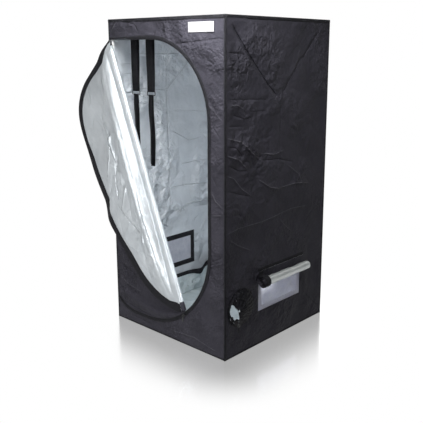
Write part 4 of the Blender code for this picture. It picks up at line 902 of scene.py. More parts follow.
def folded_depth(flat, wide=0.3, reach_left=1.0):
    """How far the folded flap stands behind its flat plane: a wing swept round the tent's corner, less a
    long ridge.

    wing = 31 mm * left * S(reach / 55 mm) + 0.17 * reach * S(along), and 16 mm more round its widest place;
    ridge = 34 mm * sin(pi run) * a lopsided hump, steep towards the fold and long on its far side. Both
    narrow with the flap towards its top and foot."""
    rel = flat - FOLD_TOP
    along, out = rel @ FOLD_ALONG, -(rel @ FOLD_ACROSS)
    beyond = np.maximum(0, -TENT_HALF - flat[..., 0])
    wing = 0.031 * reach_left * smooth(beyond / 0.055) + 0.17 * beyond * smooth((along - 0.10) / 0.50)
    wing = wing + 0.016 * smooth(beyond / 0.12) * np.exp(-(((along - 0.44) / 0.16) ** 2))
    run = np.clip((along - 0.06) / (FOLD_LENGTH - 0.16), 0, 1)
    squeeze = np.minimum(1, wide / 0.16)
    off_ridge = (out - 0.070 * squeeze) / (np.where(out < 0.070 * squeeze, 0.050, 0.065) * squeeze)
    ridge = 0.034 * squeeze * np.sin(math.pi * run) ** 0.8 * np.cos(math.pi / 2
                                                                    * np.clip(off_ridge, -1, 1)) ** 2
    return wing - ridge, along, out, run


def pinch(run):
    """How much of its depth the fold keeps: all of it but for the last 70 mm to the top corner, where it
    falls to a tenth: 1 - 0.9 * S(1 - run / 70 mm)."""
    return 1 - 0.9 * smooth(1 - run / 0.07)


flap_edge, flap_outward = open_edge(np.linspace(0.004, 0.985, 300))
flap_rel = flap_edge - FOLD_TOP
flap_run, flap_width = flap_rel @ FOLD_ALONG, flap_rel @ FOLD_ACROSS
flap_foot = FOLD_TOP + FOLD_ALONG * flap_run[:, None]
edge_beyond = np.maximum(0, -TENT_HALF - (flap_foot - FOLD_ACROSS * flap_width[:, None])[:, 0])
tape_band = 0.032 + 0.015 * smooth((flap_run - 0.40) / 0.12) - 0.012 * smooth((flap_run - 0.80) / 0.15)
tape_band = tape_band + 0.007 * smooth((flap_run - 0.98) / 0.12)
tape_width = np.minimum(tape_band / (flap_outward @ FOLD_ACROSS), flap_width * 0.6)
tape_narrow = smooth((0.055 - flap_width) / 0.02) * (flap_run < 0.5)
tape_narrow = np.maximum(tape_narrow, smooth((flap_run - FOLD_LENGTH + 0.075) / 0.03))
tape_width = tape_width + (flap_width - tape_width) * tape_narrow
flap_folds = [
    (12, 6.0, 140, 145, 400, 190, 620, 185),
    (12, -6.0, 300, 250, 520, 290, 700, 330),
    (12, 6.0, 420, 150, 600, 250, 720, 340),
    (10, -5.6, 550, 145, 660, 215, 800, 250),
    (9, 4.4, 720, 150, 860, 250),
    (9, -4.4, 800, 270, 920, 200, 1000, 130),
    (8, 3.6, 950, 120, 1150, 160),
]
flap_crumples = [
    ((0.65, 0.24), (0.30, 0.08), 110, 0.07, 0.0046, 71, 0.2),
    ((0.70, 0.085), (0.38, 0.025), 150, 0.022, 0.0022, 72, 0.0, 1.2),
    ((1.05, 0.130), (0.10, 0.03), 60, 0.035, 0.0040, 73, 0.0, 1.2),
]


def flap_sheet(reach, belly_share):
    """Points of the folded flap at a reach from the fold: its flat place, its folded depth, its belly and
    small folds.

    A deep groove runs beside the rolled fold, and a thin crumpled crease down the ridge's crest: lines of
    height * exp(-|off| / width), with off from a line that wanders."""
    flat = flap_foot[:, None] - FOLD_ACROSS * reach[..., None]
    depth, along, out, run = folded_depth(flat, flap_width[:, None],
                                          smooth((edge_beyond - 0.01) / 0.11)[:, None])
    belly = 0.009 * smooth((flap_width - 0.08) / 0.22)[:, None] * np.sin(math.pi * belly_share)
    wander = 0.004 * np.sin(along / 0.13) + 0.002 * np.sin(along / 0.047 + 1)
    lines = -0.0100 * np.exp(-(((out - 0.026 - 0.006 * run) / 0.008) ** 2))
    for depth_there, place, slant, wandering, width in (
        (-0.0060, 0.064, 0, 1, 0.005),
        (0.0040, 0.082, 0, 1, 0.006),
        (0.0050, 0.150, 0.03, 2, 0.010),
        (-0.0056, 0.190, 0.04, 3, 0.012),
    ):
        lines = lines + depth_there * np.exp(-np.abs(out - place + slant * run - wandering * wander) / width)
    folds, crease = relief(along, out, flap_folds, flap_crumples)
    fade = smooth(belly_share / 0.06) * smooth((1 - belly_share) / 0.10)
    crease[..., 2] *= fade
    small = (lines * np.sin(math.pi * run) ** 0.5 + folds) * fade
    return in_front(flat, FOLD_BACK_Y + (FLAP_Y + depth - belly - small - FOLD_BACK_Y) * pinch(along)), crease


flap_share, edge_share, crown_share = np.linspace(0, 1, 96), np.linspace(0, 1, 7)[1:], np.linspace(0, 1, 9)
cloth_reach = (flap_width - tape_width)[:, None]
under_tape = tape_width[:, None]
main = flap_sheet(cloth_reach * flap_share, flap_share[None])
free = flap_sheet(cloth_reach + under_tape * edge_share, np.ones((1, len(edge_share))))
flap_points, crease = (np.concatenate(parts, axis=1) for parts in zip(main, free))
bright_film = silver_lining("door_film", (0.52, 0.56, 0.59), (0.66, 0.70, 0.73), 0.55, 0.40, 0.12)
flap_cloth = surface("door_flap_cloth", flap_points, [bright_film, black_oxford], "door_flap",
                     FLAP_CLOTH, 0, "door", "columns", crease=crease)
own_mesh(flap_cloth)

crown, _ = flap_sheet(cloth_reach + under_tape * crown_share, np.ones((1, len(crown_share))))
crown[..., 1] -= 0.0010 + band_height(crown_share)[None]
flap_binding = surface("flap_binding", crown, [black_tape], "zip_tape_flap", 0.0005,
                       body="door",
                       turned="columns", uv=stacked(way_along(flap_edge)[:, None], under_tape * crown_share))
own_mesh(flap_binding)

bend_turn = np.linspace(math.pi, 0, 15)
bend_radius = FOLD_RADIUS + (CLOSED_STANDOFF - SEAM_GAP - FLAP_CLOTH / 2) * bend_turn / math.pi
for name, low, high, finish, slot in (
    ("door_bend", FILM_START, FILM_END, bright_film, "silver_film"),
    ("door_bend_foot", FILM_END, FOLD_LENGTH, black_oxford, "black_cloth"),
):
    rows = (flap_run > low) & (flap_run < high + 0.002)
    kept = pinch(flap_run[rows])[:, None]
    flat = flap_foot[rows][:, None] + FOLD_ACROSS * (kept * bend_radius * np.sin(bend_turn))[..., None]
    points = in_front(flat,
                      FOLD_BACK_Y + (FOLD_AXIS_Y - bend_radius * np.cos(bend_turn) - FOLD_BACK_Y) * kept)
    bend = surface(name, points, [finish, black_oxford], None, FLAP_CLOTH, 0, turned="columns")
    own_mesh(bend)

# Windows: lavender insect mesh sewn into both side walls, with a 30 mm binding on its inner side.

NET_PITCH, WINDOW_LAP, WINDOW_TAPE = 0.0016, 0.006, 0.030


def insect_net(name, low, high, passed):
    """Net: holes every 1.6 mm, where both |sin(pi place / 1.6 mm)| pass 0.8, and threads that pass some
    light."""
    sockets = {"Specular IOR Level": 0.3, "IOR": 1.1, "Transmission Weight": passed}
    material, tree, shader, place, _ = clouded(name, low, 0.55, sockets, 30.0, low, high)
    axes = axes_of(tree, place)
    turns = [calc(tree, "MULTIPLY", axes[axis], math.pi / NET_PITCH) for axis in ("Y", "Z")]
    waves = [calc(tree, "ABSOLUTE", calc(tree, "SINE", turn)) for turn in turns]
    tree.links.new(calc(tree, "LESS_THAN", calc(tree, "MINIMUM", *waves), 0.80), shader.inputs["Alpha"])
    bumps(tree, shader, [(wave, 0.0003, 0.5) for wave in waves])
    return material


def flat_ring(low, high, width, pitch=0.01):
    """A rectangular ring of tape: rows round it, columns from its outer edge to its inner one, mitred
    corners."""
    corners = np.array([(low[0], low[1]), (high[0], low[1]), (high[0], high[1]), (low[0], high[1]),
                        (low[0], low[1])])
    inner_corners = corners + width * np.array([(1, 1), (-1, 1), (-1, -1), (1, -1), (1, 1)])
    outer, inner = [], []
    for k in range(4):
        share = np.linspace(0, 1, max(3, int(np.abs(corners[k + 1] - corners[k]).sum() / pitch)))[:-1, None]
        outer.append(corners[k] + (corners[k + 1] - corners[k]) * share)
        inner.append(inner_corners[k] + (inner_corners[k + 1] - inner_corners[k]) * share)
    outer, inner = np.concatenate(outer), np.concatenate(inner)
    across = np.linspace(0, 1, 7)
    ring = outer[:, None] + (inner - outer)[:, None] * across[None, :, None]
    return ring, across, stacked(way_along(outer)[:, None], width * across)


# Both windows hold the same lavender mesh. The right net is given far lighter colours than the left: painted
# light for the light shining out through it from inside the tent.
nets = {
    "left": insect_net("left_window_net", (0.40, 0.42, 0.50), (0.50, 0.52, 0.58), 0.0),
    "right": insect_net("right_window_net", (0.80, 0.81, 0.93), (0.90, 0.91, 0.98), 0.4),
}
SIDES = (("left", -1), ("right", 1))
for side_name, side in SIDES:
    low = (WINDOW_FRONT - WINDOW_LAP, WINDOW_SILL - WINDOW_LAP)
    high = (WINDOW_REAR + WINDOW_LAP, WINDOW_HEAD + WINDOW_LAP)
    y, z = grid(np.linspace(low[0], high[0], 72), np.linspace(low[1], high[1], 42))
    off_rim = np.minimum(np.minimum(y - low[0], high[0] - y), np.minimum(z - low[1], high[1] - z))
    slack = crumple(y, z, (0.04, 0.27), (0.12, 0.06), 34, 0.07, 0.0034, 81 + side, 1.3) + billow(y, z, 0.0012,
                                                                                                 83)
    slack = np.minimum(slack, 0) * smooth((off_rim - 0.032) / 0.03)
    points = stacked(side * (SIDE_RUN - 0.0002 + slack), y, z)
    net = surface(f"{side_name}_window_net", points, [nets[side_name]],
                  f"{side_name}_window_mesh",
                  0.0005, turned=None if side > 0 else "rows")
    ring, across, uv = flat_ring(low, high, WINDOW_TAPE)
    lift = side * (SIDE_RUN - SEAM_GAP - 0.0008 - 0.0009 * np.sin(math.pi * across) ** 0.6)
    points = stacked(lift, ring[..., 0], ring[..., 1])
    points, uv = np.concatenate([points, points[:1]]), np.concatenate([uv, uv[-1:]])
    surface(f"{side_name}_window_tape", points, [black_tape], f"{side_name}_window_binding",
            0.0006,
            turned=None if side < 0 else "columns", uv=uv)
    rows = []
    for inset in (0.003, 0.027):
        line = ring[:, 0] + (ring[:, -1] - ring[:, 0]) * inset / WINDOW_TAPE
        line = np.concatenate([line, line[:1]])
        rows.append(stacked(side * (TENT_HALF - CLOTH - 0.0024), line[:, 0], line[:, 1]))
    sew(f"{side_name}_window_stitching", rows, (-side, 0, 0), seam_thread)

# Window covers: a square of the wall's cloth under a seam above each window. The left one hangs shut; the
# right one is rolled up from its foot with its silver side out, and a tape tie goes round the roll.

COVER_SEAM_Z, COVER_LAP, COVER_TAPE = 0.385, 0.017, 0.016
cover_x = -TENT_HALF - SEAM_GAP - CLOTH / 2
cover_front, cover_rear = WINDOW_FRONT - COVER_LAP, WINDOW_REAR + COVER_LAP
cover_foot = WINDOW_SILL - COVER_LAP
y, z = grid(np.linspace(cover_front, cover_rear, 80), np.linspace(cover_foot, COVER_SEAM_Z, 50))
off_side = np.minimum(y - cover_front, cover_rear - y)
corner_rise = COVER_LAP - np.sqrt(np.maximum(0, COVER_LAP**2 - (COVER_LAP - off_side) ** 2))
corner_rise = np.where(off_side < COVER_LAP, corner_rise, 0)
z = COVER_SEAM_Z - (COVER_SEAM_Z - z) * (COVER_SEAM_Z - cover_foot - corner_rise) / (COVER_SEAM_Z
                                                                                     - cover_foot)
hang = smooth((COVER_SEAM_Z - z) / 0.08)
cover_folds = [(8, 3, 1000 * cover_front, 260, 50, 275, 1000 * cover_rear, 265)]
height, crease = relief(y, z, cover_folds, [((0.0, 0.27), (0.12, 0.06), 30, 0.05, 0.0018, 91)])
height = np.clip(height, 0, 0.006) * hang + 0.0012 * hang * (1 + np.sin(y / 0.03))
points = stacked(cover_x - CLOTH / 2 - height, y, z)
left_cover = surface("left_cover_cloth", points, LINED, "left_window_cover", CLOTH,
                     body="left_cover", turned="rows", crease=crease)
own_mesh(left_cover)
near, far = cover_front + 0.006, cover_rear - 0.006
hem_line = [(near, COVER_SEAM_Z - 0.030), (near, cover_foot + 0.018), (near + 0.012, cover_foot + 0.006)]
hem_line += [(far - 0.012, cover_foot + 0.006), (far, cover_foot + 0.018), (far, COVER_SEAM_Z - 0.030)]
hem_line = [(cover_x - 0.0040, y_end, z_end) for y_end, z_end in hem_line]
hem_stitching = sew("left_cover_hem_stitching", [hem_line], (-1, 0, 0), seam_thread, body="left_cover")
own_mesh(hem_stitching)

ROLL_RADIUS, ROLL_PITCH, ROLL_TURNS = 0.026, 0.008, 2.3
ROLL_MIDDLE, ROLL_HALF, ROLL_SHADE_END = 0.03, 0.1895, 0.020
TIE_WIDTH, TIE_STANDOFF, TIE_HOLD = 0.035, 0.0014, math.radians(135)
roll_x, roll_z = TENT_HALF + SEAM_GAP + CLOTH / 2 + ROLL_RADIUS, 0.337
roll_low, roll_high = ROLL_MIDDLE - ROLL_HALF, ROLL_MIDDLE + ROLL_HALF
roll_turn = 2 * math.pi * ROLL_TURNS * np.linspace(0, 1, 150)
roll_y = np.linspace(roll_high, roll_low, 90)
drop = np.linspace(COVER_SEAM_Z, roll_z, 12)[:-1, None]
wobble = 0.0009 * np.sin(roll_y / 0.021) + 0.0007 * np.sin(roll_y / 0.047 + 2)
settled = smooth(roll_turn / 1.2)[:, None]
dents = crumple(*grid(roll_turn * 0.02, roll_y), (0.12, 0.03), (0.08, 0.12), 60, 0.03, 0.0012, 92)
roll_radius = ROLL_RADIUS - ROLL_PITCH * roll_turn[:, None] / (2 * math.pi)
roll_radius = roll_radius + wobble * settled - np.abs(dents) * settled
turned = math.pi + roll_turn[:, None]
dropped = stacked(roll_x - ROLL_RADIUS, roll_y, drop)
spiral = stacked(roll_x + roll_radius * np.cos(turned), roll_y, roll_z + roll_radius * np.sin(turned))
rolled_film = silver_lining("rolled_film", (0.56, 0.59, 0.59), (0.68, 0.71, 0.70), 0.60, 0.30, 0.3)
cover_roll = surface("right_cover_roll", np.concatenate([dropped, spiral]), [rolled_film, black_oxford],
                     "right_window_cover_roll", CLOTH, 0, "right_cover")
# Painted shade: the faces within 20 mm of the roll's left end take the black cloth in place of the film, for
# the dark inside of the roll's end.
roll_faces = cover_roll.data.polygons
centres = np.empty(3 * len(roll_faces))
roll_faces.foreach_get("center", centres)
roll_faces.foreach_set("material_index", (centres[1::3] < roll_low + ROLL_SHADE_END).astype(np.int32))

# The tie: down the wall, round the roll and back under it, wrinkled a little round the turn.
wrap = arc_points((roll_x, roll_z), ROLL_RADIUS + TIE_STANDOFF, TIE_HOLD, -TIE_HOLD, 60)
tie_x = roll_x - ROLL_RADIUS + 0.0005 + TIE_STANDOFF
tie_path = even_points(np.concatenate([[(tie_x, COVER_SEAM_Z), (tie_x, wrap[0, 1] + 0.012)], wrap]), 110)
along = unit(np.gradient(tie_path, axis=0))
way, across = np.linspace(0, 1, 110)[:, None], np.linspace(roll_low + 0.004, roll_low + 0.004 + TIE_WIDTH, 12)
ripple = np.abs(0.0007 * np.sin(way * 30 + 3 + across * 90) * smooth((way - 0.2) / 0.1))
tie_points = stacked(tie_path[:, :1] - along[:, 1:] * ripple, across, tie_path[:, 1:] + along[:, :1] * ripple)
tie_length = np.linalg.norm(np.diff(tie_path, axis=0), axis=1).sum()
surface("right_window_tie_tape", tie_points, [black_tape], "right_window_tie", 0.0012, 0,
        "right_cover", uv=stacked(way * tie_length, across))

for side_name, side in SIDES:
    y, across = grid(np.linspace(cover_front, cover_rear, 60), np.linspace(0, 1, 7))
    if side > 0:
        y = y + 0.0125
    seam_x = side * (TENT_HALF + 0.0004 * np.sin(math.pi * across))
    points = stacked(seam_x, y, COVER_SEAM_Z + 0.001 + COVER_TAPE * across)
    surface(f"{side_name}_cover_seam", points, [black_tape], None, 0.0006,
            turned=None if side > 0 else "rows", uv=stacked(y, COVER_TAPE * across))
    row = [(side * (TENT_HALF + 0.0012), end, COVER_SEAM_Z + 0.013) for end in (y.min() + 0.003,
                                                                                y.max() - 0.003)]
    sew(f"{side_name}_cover_stitching", [row], (side, 0, 0), black_thread)

# Duct ports: gathered cloth sleeves round two holes, silver inside. Each is drawn in by a braided cord in
# its hem, which a sprung lock holds.

RIGHT_PORT = {
    "name": "right_port",
    "axes": np.array(((0, 1, 0), (0, 0, 1), (1, 0, 0)), float),
    "origin": np.array((TENT_HALF, *RIGHT_PORT_PLACE)),
    "hole": RIGHT_PORT_RADIUS,
    "mouth": (0.045, 0.050),
    "shift": (-0.046, 0.010),
    "reach": 0.030,
    "tilt": 0.6,
    "closure": 0.90,
}
BACK_PORT = {
    "name": "back_port",
    "axes": np.array(((-1, 0, 0), (0, 0, 1), (0, 1, 0)), float),
    "origin": np.array((BACK_PORT_PLACE[0], TENT_HALF, BACK_PORT_PLACE[1])),
    "hole": BACK_PORT_RADIUS,
    "mouth": (0.060, 0.060),
    "shift": (0.0, -0.045),
    "reach": 0.150,
    "tilt": 0.0,
    "closure": 0.25,
}
RING_SHARES = np.linspace(0, 1, 7)
REACH_SHARES = (0, 0, 0.28, 0.52, 0.70, 0.80, 1)
TAPER_SHARES = (0, 0, 0.10, 0.45, 0.85, 1, 1)
PLEAT_SHARES = (0, 0, 0.03, 0.07, 0.10, 0.08, 0.09)
SLEEVE_CLOTH, CORD_RADIUS = 0.0008, 0.0014
CORD_TAIL, CORD_PARTING = 0.062, math.radians(60)


def full_turn(count):
    """That many even steps of one turn."""
    return np.linspace(0, 2 * math.pi, count, endpoint=False)


def at_port(port, *local):
    """Points given along the wall, up it and out of it, from the port's middle, set in the tent."""
    return port["origin"] + stacked(*local) @ port["axes"]


def sleeve_points(port, rows, count):
    """The gathered loft: ellipses that shrink and shift from the hole to the mouth, pleated by
    1 + pleat * (cos 12 a + 0.5 cos(7 a + 2) + 0.1 cos(31 a)), and lifted more on the side it tilts to."""
    share = np.linspace(0, 1, rows)[:, None]
    turn = full_turn(count)[None]
    taper, pleat, reach = (
        np.interp(share, RING_SHARES, shares) for shares in (TAPER_SHARES, PLEAT_SHARES, REACH_SHARES)
    )
    hole = port["hole"] + 0.008 * np.clip(1 - share * 6, 0, 1)
    fold = np.cos(12 * turn) + 0.5 * np.cos(7 * turn + 2) * smooth(share * 2) + 0.1 * np.cos(31 * turn)
    swell = 1 + pleat * fold * 0.9
    off = SEAM_GAP + SLEEVE_CLOTH / 2 + reach * port["reach"] * (1 + port["tilt"] * np.cos(turn))
    off = off + 0.0016 * np.sin(24 * turn + 9 * share) * smooth(share * 4) * smooth((1 - share) * 5)
    folded = port["closure"] * smooth((share - 0.82) / 0.18) * smooth((np.cos(turn - 0.4) + 0.55) / 0.7)
    folded = folded * (1 + 0.10 * np.cos(12 * turn) + 0.08 * np.cos(5 * turn + 1))
    hub = (port["shift"][0] - 0.2 * port["mouth"][0] * port["closure"],
           port["shift"][1] - 0.1 * port["mouth"][1])
    local = []
    for shift, mouth, wave, middle in zip(port["shift"], port["mouth"], (np.cos(turn), np.sin(turn)), hub):
        place = shift * taper + (hole + (mouth - hole) * taper) * swell * wave
        local.append(place + (middle - place) * np.clip(folded, 0, 1))
    off = off - 0.010 * folded + 0.0024 * np.cos(12 * turn) * smooth((share - 0.8) / 0.1)
    return at_port(port, *local, off)


def drawn_cord(port):
    """The cord's path: round the mouth just under its hem from lower right to lower left, both tails
    brought down, and the middle of its lock on the tails."""
    wide, tall = (size * 1.09 + SLEEVE_CLOTH / 2 + 0.0004 + CORD_RADIUS for size in port["mouth"])
    across, up = port["shift"]
    turn = np.linspace(-CORD_PARTING, math.pi + CORD_PARTING, 60)
    off, level = (
        SEAM_GAP + SLEEVE_CLOTH / 2 + port["reach"] * 0.9 * (1 + port["tilt"] * np.cos(angle))
        for angle in (turn, -math.pi / 2)
    )
    ring = stacked(across + wide * np.cos(turn), up + tall * np.sin(turn), off)
    drop = CORD_TAIL * np.array([1, 0.85, 0.7, 0.55, 0.4, 0.3, 0.2, 0.12])
    tails = [stacked(across + side * 0.0026, up - tall - drop, level) for side in (1, -1)]
    route = np.concatenate([tails[0], ring, tails[1][::-1]])
    for _ in range(6):
        route[1:-1] = route[1:-1] * 0.5 + (route[:-2] + route[2:]) * 0.25
    return at_port(port, *route.T), at_port(port, across, up - tall - 0.014 - 0.009, level)


def close_ends(piece):
    """Merges the points that fell together at a closed end, and turns every face outwards."""
    edit = bmesh.new()
    edit.from_mesh(piece.data)
    bmesh.ops.remove_doubles(edit, verts=edit.verts, dist=0.000005)
    bmesh.ops.recalc_face_normals(edit, faces=edit.faces)
    edit.to_mesh(piece.data)
    edit.free()
    return piece


def tube(name, path, radius, material, node, sides=12, braid=0.0):
    """A round tube along a path: rings of points square to it, ribbed by a braid of two crossing helices."""
    along = unit(np.gradient(path, axis=0))
    across = unit(np.cross(along, (0.31, 0.17, 0.93)))
    lift = np.cross(along, across)
    way = way_along(path)
    turn = full_turn(sides)
    ribs = braid * np.sin(4 * turn[None] + way[:, None] / 0.0008) * np.sin(4 * turn[None] - way[:, None]
                                                                           / 0.0008)
    ring = across[:, None] * np.cos(turn)[None, :, None] + lift[:, None] * np.sin(turn)[None, :, None]
    points = path[:, None] + ring * (radius + ribs - braid)[..., None]
    first, last = (np.repeat(path[k][None, None], sides, axis=1) for k in (0, -1))
    ways = np.concatenate([[0], way, [way[-1]]])
    return close_ends(surface(name, np.concatenate([first, points, last]), [material], node,
                              closed=True,
                              uv=stacked(ways[:, None], turn * radius)))


def turned_piece(name, profile, origin, axis, material, node=None, body="tent", sides=40):
    """A profile of (radius, height) points turned about an axis through an origin."""
    axis = unit(np.array(axis, float))
    across = unit(np.cross(axis, (0.31, 0.17, 0.93)))
    turn = full_turn(sides)[:, None]
    profile = np.array(profile)[..., None, None]
    ring = across * np.cos(turn) + np.cross(axis, across) * np.sin(turn)
    points = np.array(origin) + profile[:, 1] * axis + profile[:, 0] * ring
    return close_ends(surface(name, points, [material], node, body=body, closed=True))


def lozenge(name, centre, axes, size, power, material, node=None, body="tent"):
    """A soft-edged block: the superellipsoid |x|^p + |y|^p + |z|^p = 1 scaled to its size."""
    turn, rise = grid(full_turn(48), np.linspace(-math.pi / 2, math.pi / 2, 29))
    local = stacked(np.cos(rise) * np.cos(turn), np.cos(rise) * np.sin(turn), np.sin(rise))
    norm = (np.abs(local) ** power).sum(-1, keepdims=True) ** (1 / power)
    points = np.array(centre) + local / norm * np.array(size) / 2 @ np.array(axes, float)
    return close_ends(surface(name, points.transpose(1, 0, 2), [material], node, body=body,
                              closed=True))


def moulded_plastic(name, colour, roughness):
    """Moulded nylon: nearly black, with the faint orange peel and cloudy shine of the tool."""
    light = tuple(1.6 * c + 0.004 for c in colour)
    shine = (roughness - 0.08, roughness + 0.12)
    made = clouded(name, colour, roughness, {"Specular IOR Level": 0.45}, 120.0, colour, light, shine)
    material, tree, shader, place, _ = made
    bumps(tree, shader, [(noise(tree, place, 700.0, 2.0), 0.0004, 0.35)])
    return material


nylon = moulded_plastic("black_nylon", (0.016, 0.016, 0.017), 0.36)
cord_braid = ribbed_tape("cord_braid", (0.010, 0.010, 0.011), (0.03, 0.03, 0.033), 0.0012, 0.5)
glossy_oxford = oxford_cloth("sleeve_cloth", (0.006, 0.006, 0.008), (0.011, 0.011, 0.014),
                             (0.03, 0.03, 0.035), 0.10)
button_profile = [(0, 0), (3.7, 0), (3.7, 3.6), (3.4, 4.3), (2.7, 4.6), (1.5, 4.4), (0, 4.3)]

for port, wall_name, lock_body, button_body in (
    (RIGHT_PORT, "right_wall_cloth", "right_cord_lock", "right_button"),
    (BACK_PORT, "back_wall_cloth", "back_cord_lock", "back_button"),
):
    name, out = port["name"], port["axes"][2]
    gathered = surface(f"{name}_gathered_sleeve", sleeve_points(port, 76, 360), [glossy_oxford, silver_film],
                       f"{name}_sleeve", SLEEVE_CLOTH, 0, turned="rows", closed=True)
    route, lock_middle = drawn_cord(port)
    tube(f"{name}_braided_cord", even_points(route, 420), CORD_RADIUS, cord_braid,
         f"{name}_drawcord",
         12, 0.00012)
    lozenge(f"{name}_lock_body", lock_middle, port["axes"], (0.014, 0.018, 0.011), 5, nylon,
            f"{name}_cord_lock", lock_body)
    turned_piece(f"{name}_lock_button", np.array(button_profile) / 1000, lock_middle + out * 0.0052, out,
                 nylon,
                 f"{name}_cord_lock_button", button_body, 32)
    turn = np.linspace(0, 2 * math.pi, 200)
    flange = port["hole"] + 0.0045
    flange_ring = at_port(port, flange * np.cos(turn), flange * np.sin(turn), 0.0013)
    sew(f"{name}_stitching", [flange_ring], out, seam_thread)

# Tube frame: powder-coated steel tubes push into black three-way corners. The posts are two lengths, swaged
# together in the middle; both crossbars drop their flat hooks over the side rails.

POLE_RADIUS, POLE_BORE, POLE_SWAGED = 0.0095, 0.0087, 0.0091
SOCKET_RADIUS, SOCKET_REACH, SOCKET_FLOOR = 0.0123, 0.055, 0.014
BAR_RADIUS, BAR_BORE = 0.008, 0.007
POST_PLACE = TENT_HALF - CLOTH - SEAM_GAP - SOCKET_RADIUS
FLOOR_RAIL_Z, TOP_RAIL_Z = TENT_HALF - POST_PLACE, TENT_HEIGHT - TENT_HALF + POST_PLACE
FRONT_BAR_Y, REAR_BAR_Y = -0.30, 0.12
X_AXIS, Y_AXIS, Z_AXIS = np.eye(3)

white_steel, tree, shader, place, _ = clouded("white_coated_steel", (0.78, 0.78, 0.78), 0.32,
                                              {"Specular IOR Level": 0.5}, 14.0, (0.66, 0.66, 0.67),
                                              (0.78, 0.78, 0.78), (0.26, 0.42))
bumps(tree, shader, [(noise(tree, place, 500.0, 2.0), 0.0004, 0.3)])


def steel_tube(name, node, origin, axis, half, jointed=False):
    """A tube of two walls closed at both ends; a jointed one is swaged 0.4 mm down over 3 mm at its
    middle."""
    profile = [(POLE_RADIUS - 0.0002, half), (POLE_RADIUS, half - 0.0002)]
    if jointed:
        profile += [(POLE_RADIUS, 0.0022), (POLE_SWAGED, 0.0015), (POLE_SWAGED, -0.0015),
                    (POLE_RADIUS, -0.0022)]
    profile += [(POLE_RADIUS, -half + 0.0002), (POLE_RADIUS - 0.0002, -half), (POLE_BORE, -half),
                (POLE_BORE, half)]
    turned_piece(name, profile + profile[:1], origin, axis, white_steel, node)


def joined(name, parts, node):
    """Several pieces made one, under a new name, on the first one's body."""
    target = parts[0]
    edit = bmesh.new()
    for part in parts:
        edit.from_mesh(part.data)
    edit.to_mesh(target.data)
    edit.free()
    for part in parts[1:]:
        mesh = part.data
        bpy.data.objects.remove(part)
        bpy.data.meshes.remove(mesh)
    target.name = target.data.name = name
    target.data.shade_smooth()
    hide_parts(node)


butt = SOCKET_FLOOR + SEAM_GAP
post_half, rail_half = (TOP_RAIL_Z - FLOOR_RAIL_Z) / 2 - butt, POST_PLACE - butt
ENDS = (("front", -1), ("rear", 1))
LEVELS = (("floor", FLOOR_RAIL_Z, 1), ("top", TOP_RAIL_Z, -1))
for side_name, side in SIDES:
    for end_name, end in ENDS:
        middle = (side * POST_PLACE, end * POST_PLACE, TENT_HEIGHT / 2)
        steel_tube(f"tube_post_{end_name}_{side_name}", f"post_{end_name}_{side_name}", middle, Z_AXIS,
                   post_half, True)
for level, height, _ in LEVELS:
    for end_name, end in ENDS:
        middle = (0, end * POST_PLACE, height)
        steel_tube(f"tube_{level}_{end_name}", f"{level}_rail_{end_name}", middle, X_AXIS, rail_half)
    for side_name, side in SIDES:
        middle = (side * POST_PLACE, 0, height)
        steel_tube(f"tube_{level}_{side_name}", f"{level}_rail_{side_name}", middle, Y_AXIS, rail_half)

socket_bore = POLE_RADIUS + SEAM_GAP
arm_profile = [(0.0, 0.0), (0.0117, 0.0), (0.0117, 0.046), (SOCKET_RADIUS, 0.047)]
arm_profile += [(SOCKET_RADIUS, SOCKET_REACH - 0.0006), (SOCKET_RADIUS - 0.0006, SOCKET_REACH),
                (0.0102, SOCKET_REACH)]
arm_profile += [(socket_bore, SOCKET_REACH - 0.0006), (socket_bore, SOCKET_FLOOR), (0.0, SOCKET_FLOOR)]
for level, height, rise in LEVELS:
    for side_name, side in SIDES:
        for end_name, end in ENDS:
            middle = np.array((side * POST_PLACE, end * POST_PLACE, height))
            ways = enumerate(((-side, 0, 0), (0, -end, 0), (0, 0, rise)))
            arms = [turned_piece(f"arm_{k}", arm_profile, middle, way, nylon, sides=36) for k, way in ways]
            hub = lozenge("hub", middle, np.eye(3), [2 * SOCKET_RADIUS - 0.0002] * 3, 2.3, nylon)
            corner = f"{end_name}_{side_name}"
            joined(f"corner_{level}_{corner}", [hub] + arms, f"{level}_corner_{corner}")

bar_half = POST_PLACE - POLE_RADIUS - SEAM_GAP - 0.001
bar_profile = [(BAR_RADIUS, bar_half), (BAR_RADIUS, -bar_half), (BAR_BORE, -bar_half), (BAR_BORE, bar_half)]
hook_profile = [(9.8, -7.5), (9.8, 7.5), (10.3, 8), (11.3, 8), (11.8, 7.5), (11.8, -7.5), (11.3, -8),
                (10.3, -8)]
radius, wide = np.array(hook_profile).T / 1000
turn = np.linspace(math.radians(-35), math.radians(215), 60)[:, None]
for bar_name, bar_y, body in (("front", FRONT_BAR_Y, "front_bar"), ("rear", REAR_BAR_Y, "rear_bar")):
    middle = (0, bar_y, TOP_RAIL_Z)
    parts = [turned_piece("bar", bar_profile + bar_profile[:1], middle, X_AXIS, white_steel, body=body,
                          sides=36)]
    for side in (-1, 1):
        hook_x = side * POST_PLACE + side * radius * np.cos(turn)
        hook = stacked(hook_x, bar_y + wide, TOP_RAIL_Z + radius * np.sin(turn))
        first, last = (np.repeat(hook[k].mean(0)[None, None], len(wide), axis=1) for k in (0, -1))
        hook = np.concatenate([first, hook, last])
        parts.append(close_ends(surface("hook", hook, [white_steel], body=body, closed=True)))
    joined(f"{bar_name}_bar_and_hooks", parts, f"{bar_name}_crossbar")

# Hanging straps: two wide loops of webbing on the front crossbar, each with a flat wire ring in its foot
# and a narrow tail of webbing over the ring.

STRAP_CLOTH, STRAP_DROP = 0.0014, 0.342
RING_WIRE, RING_WIDTH, RING_HEIGHT, RING_CORNER = 0.002, 0.058, 0.020, 0.005

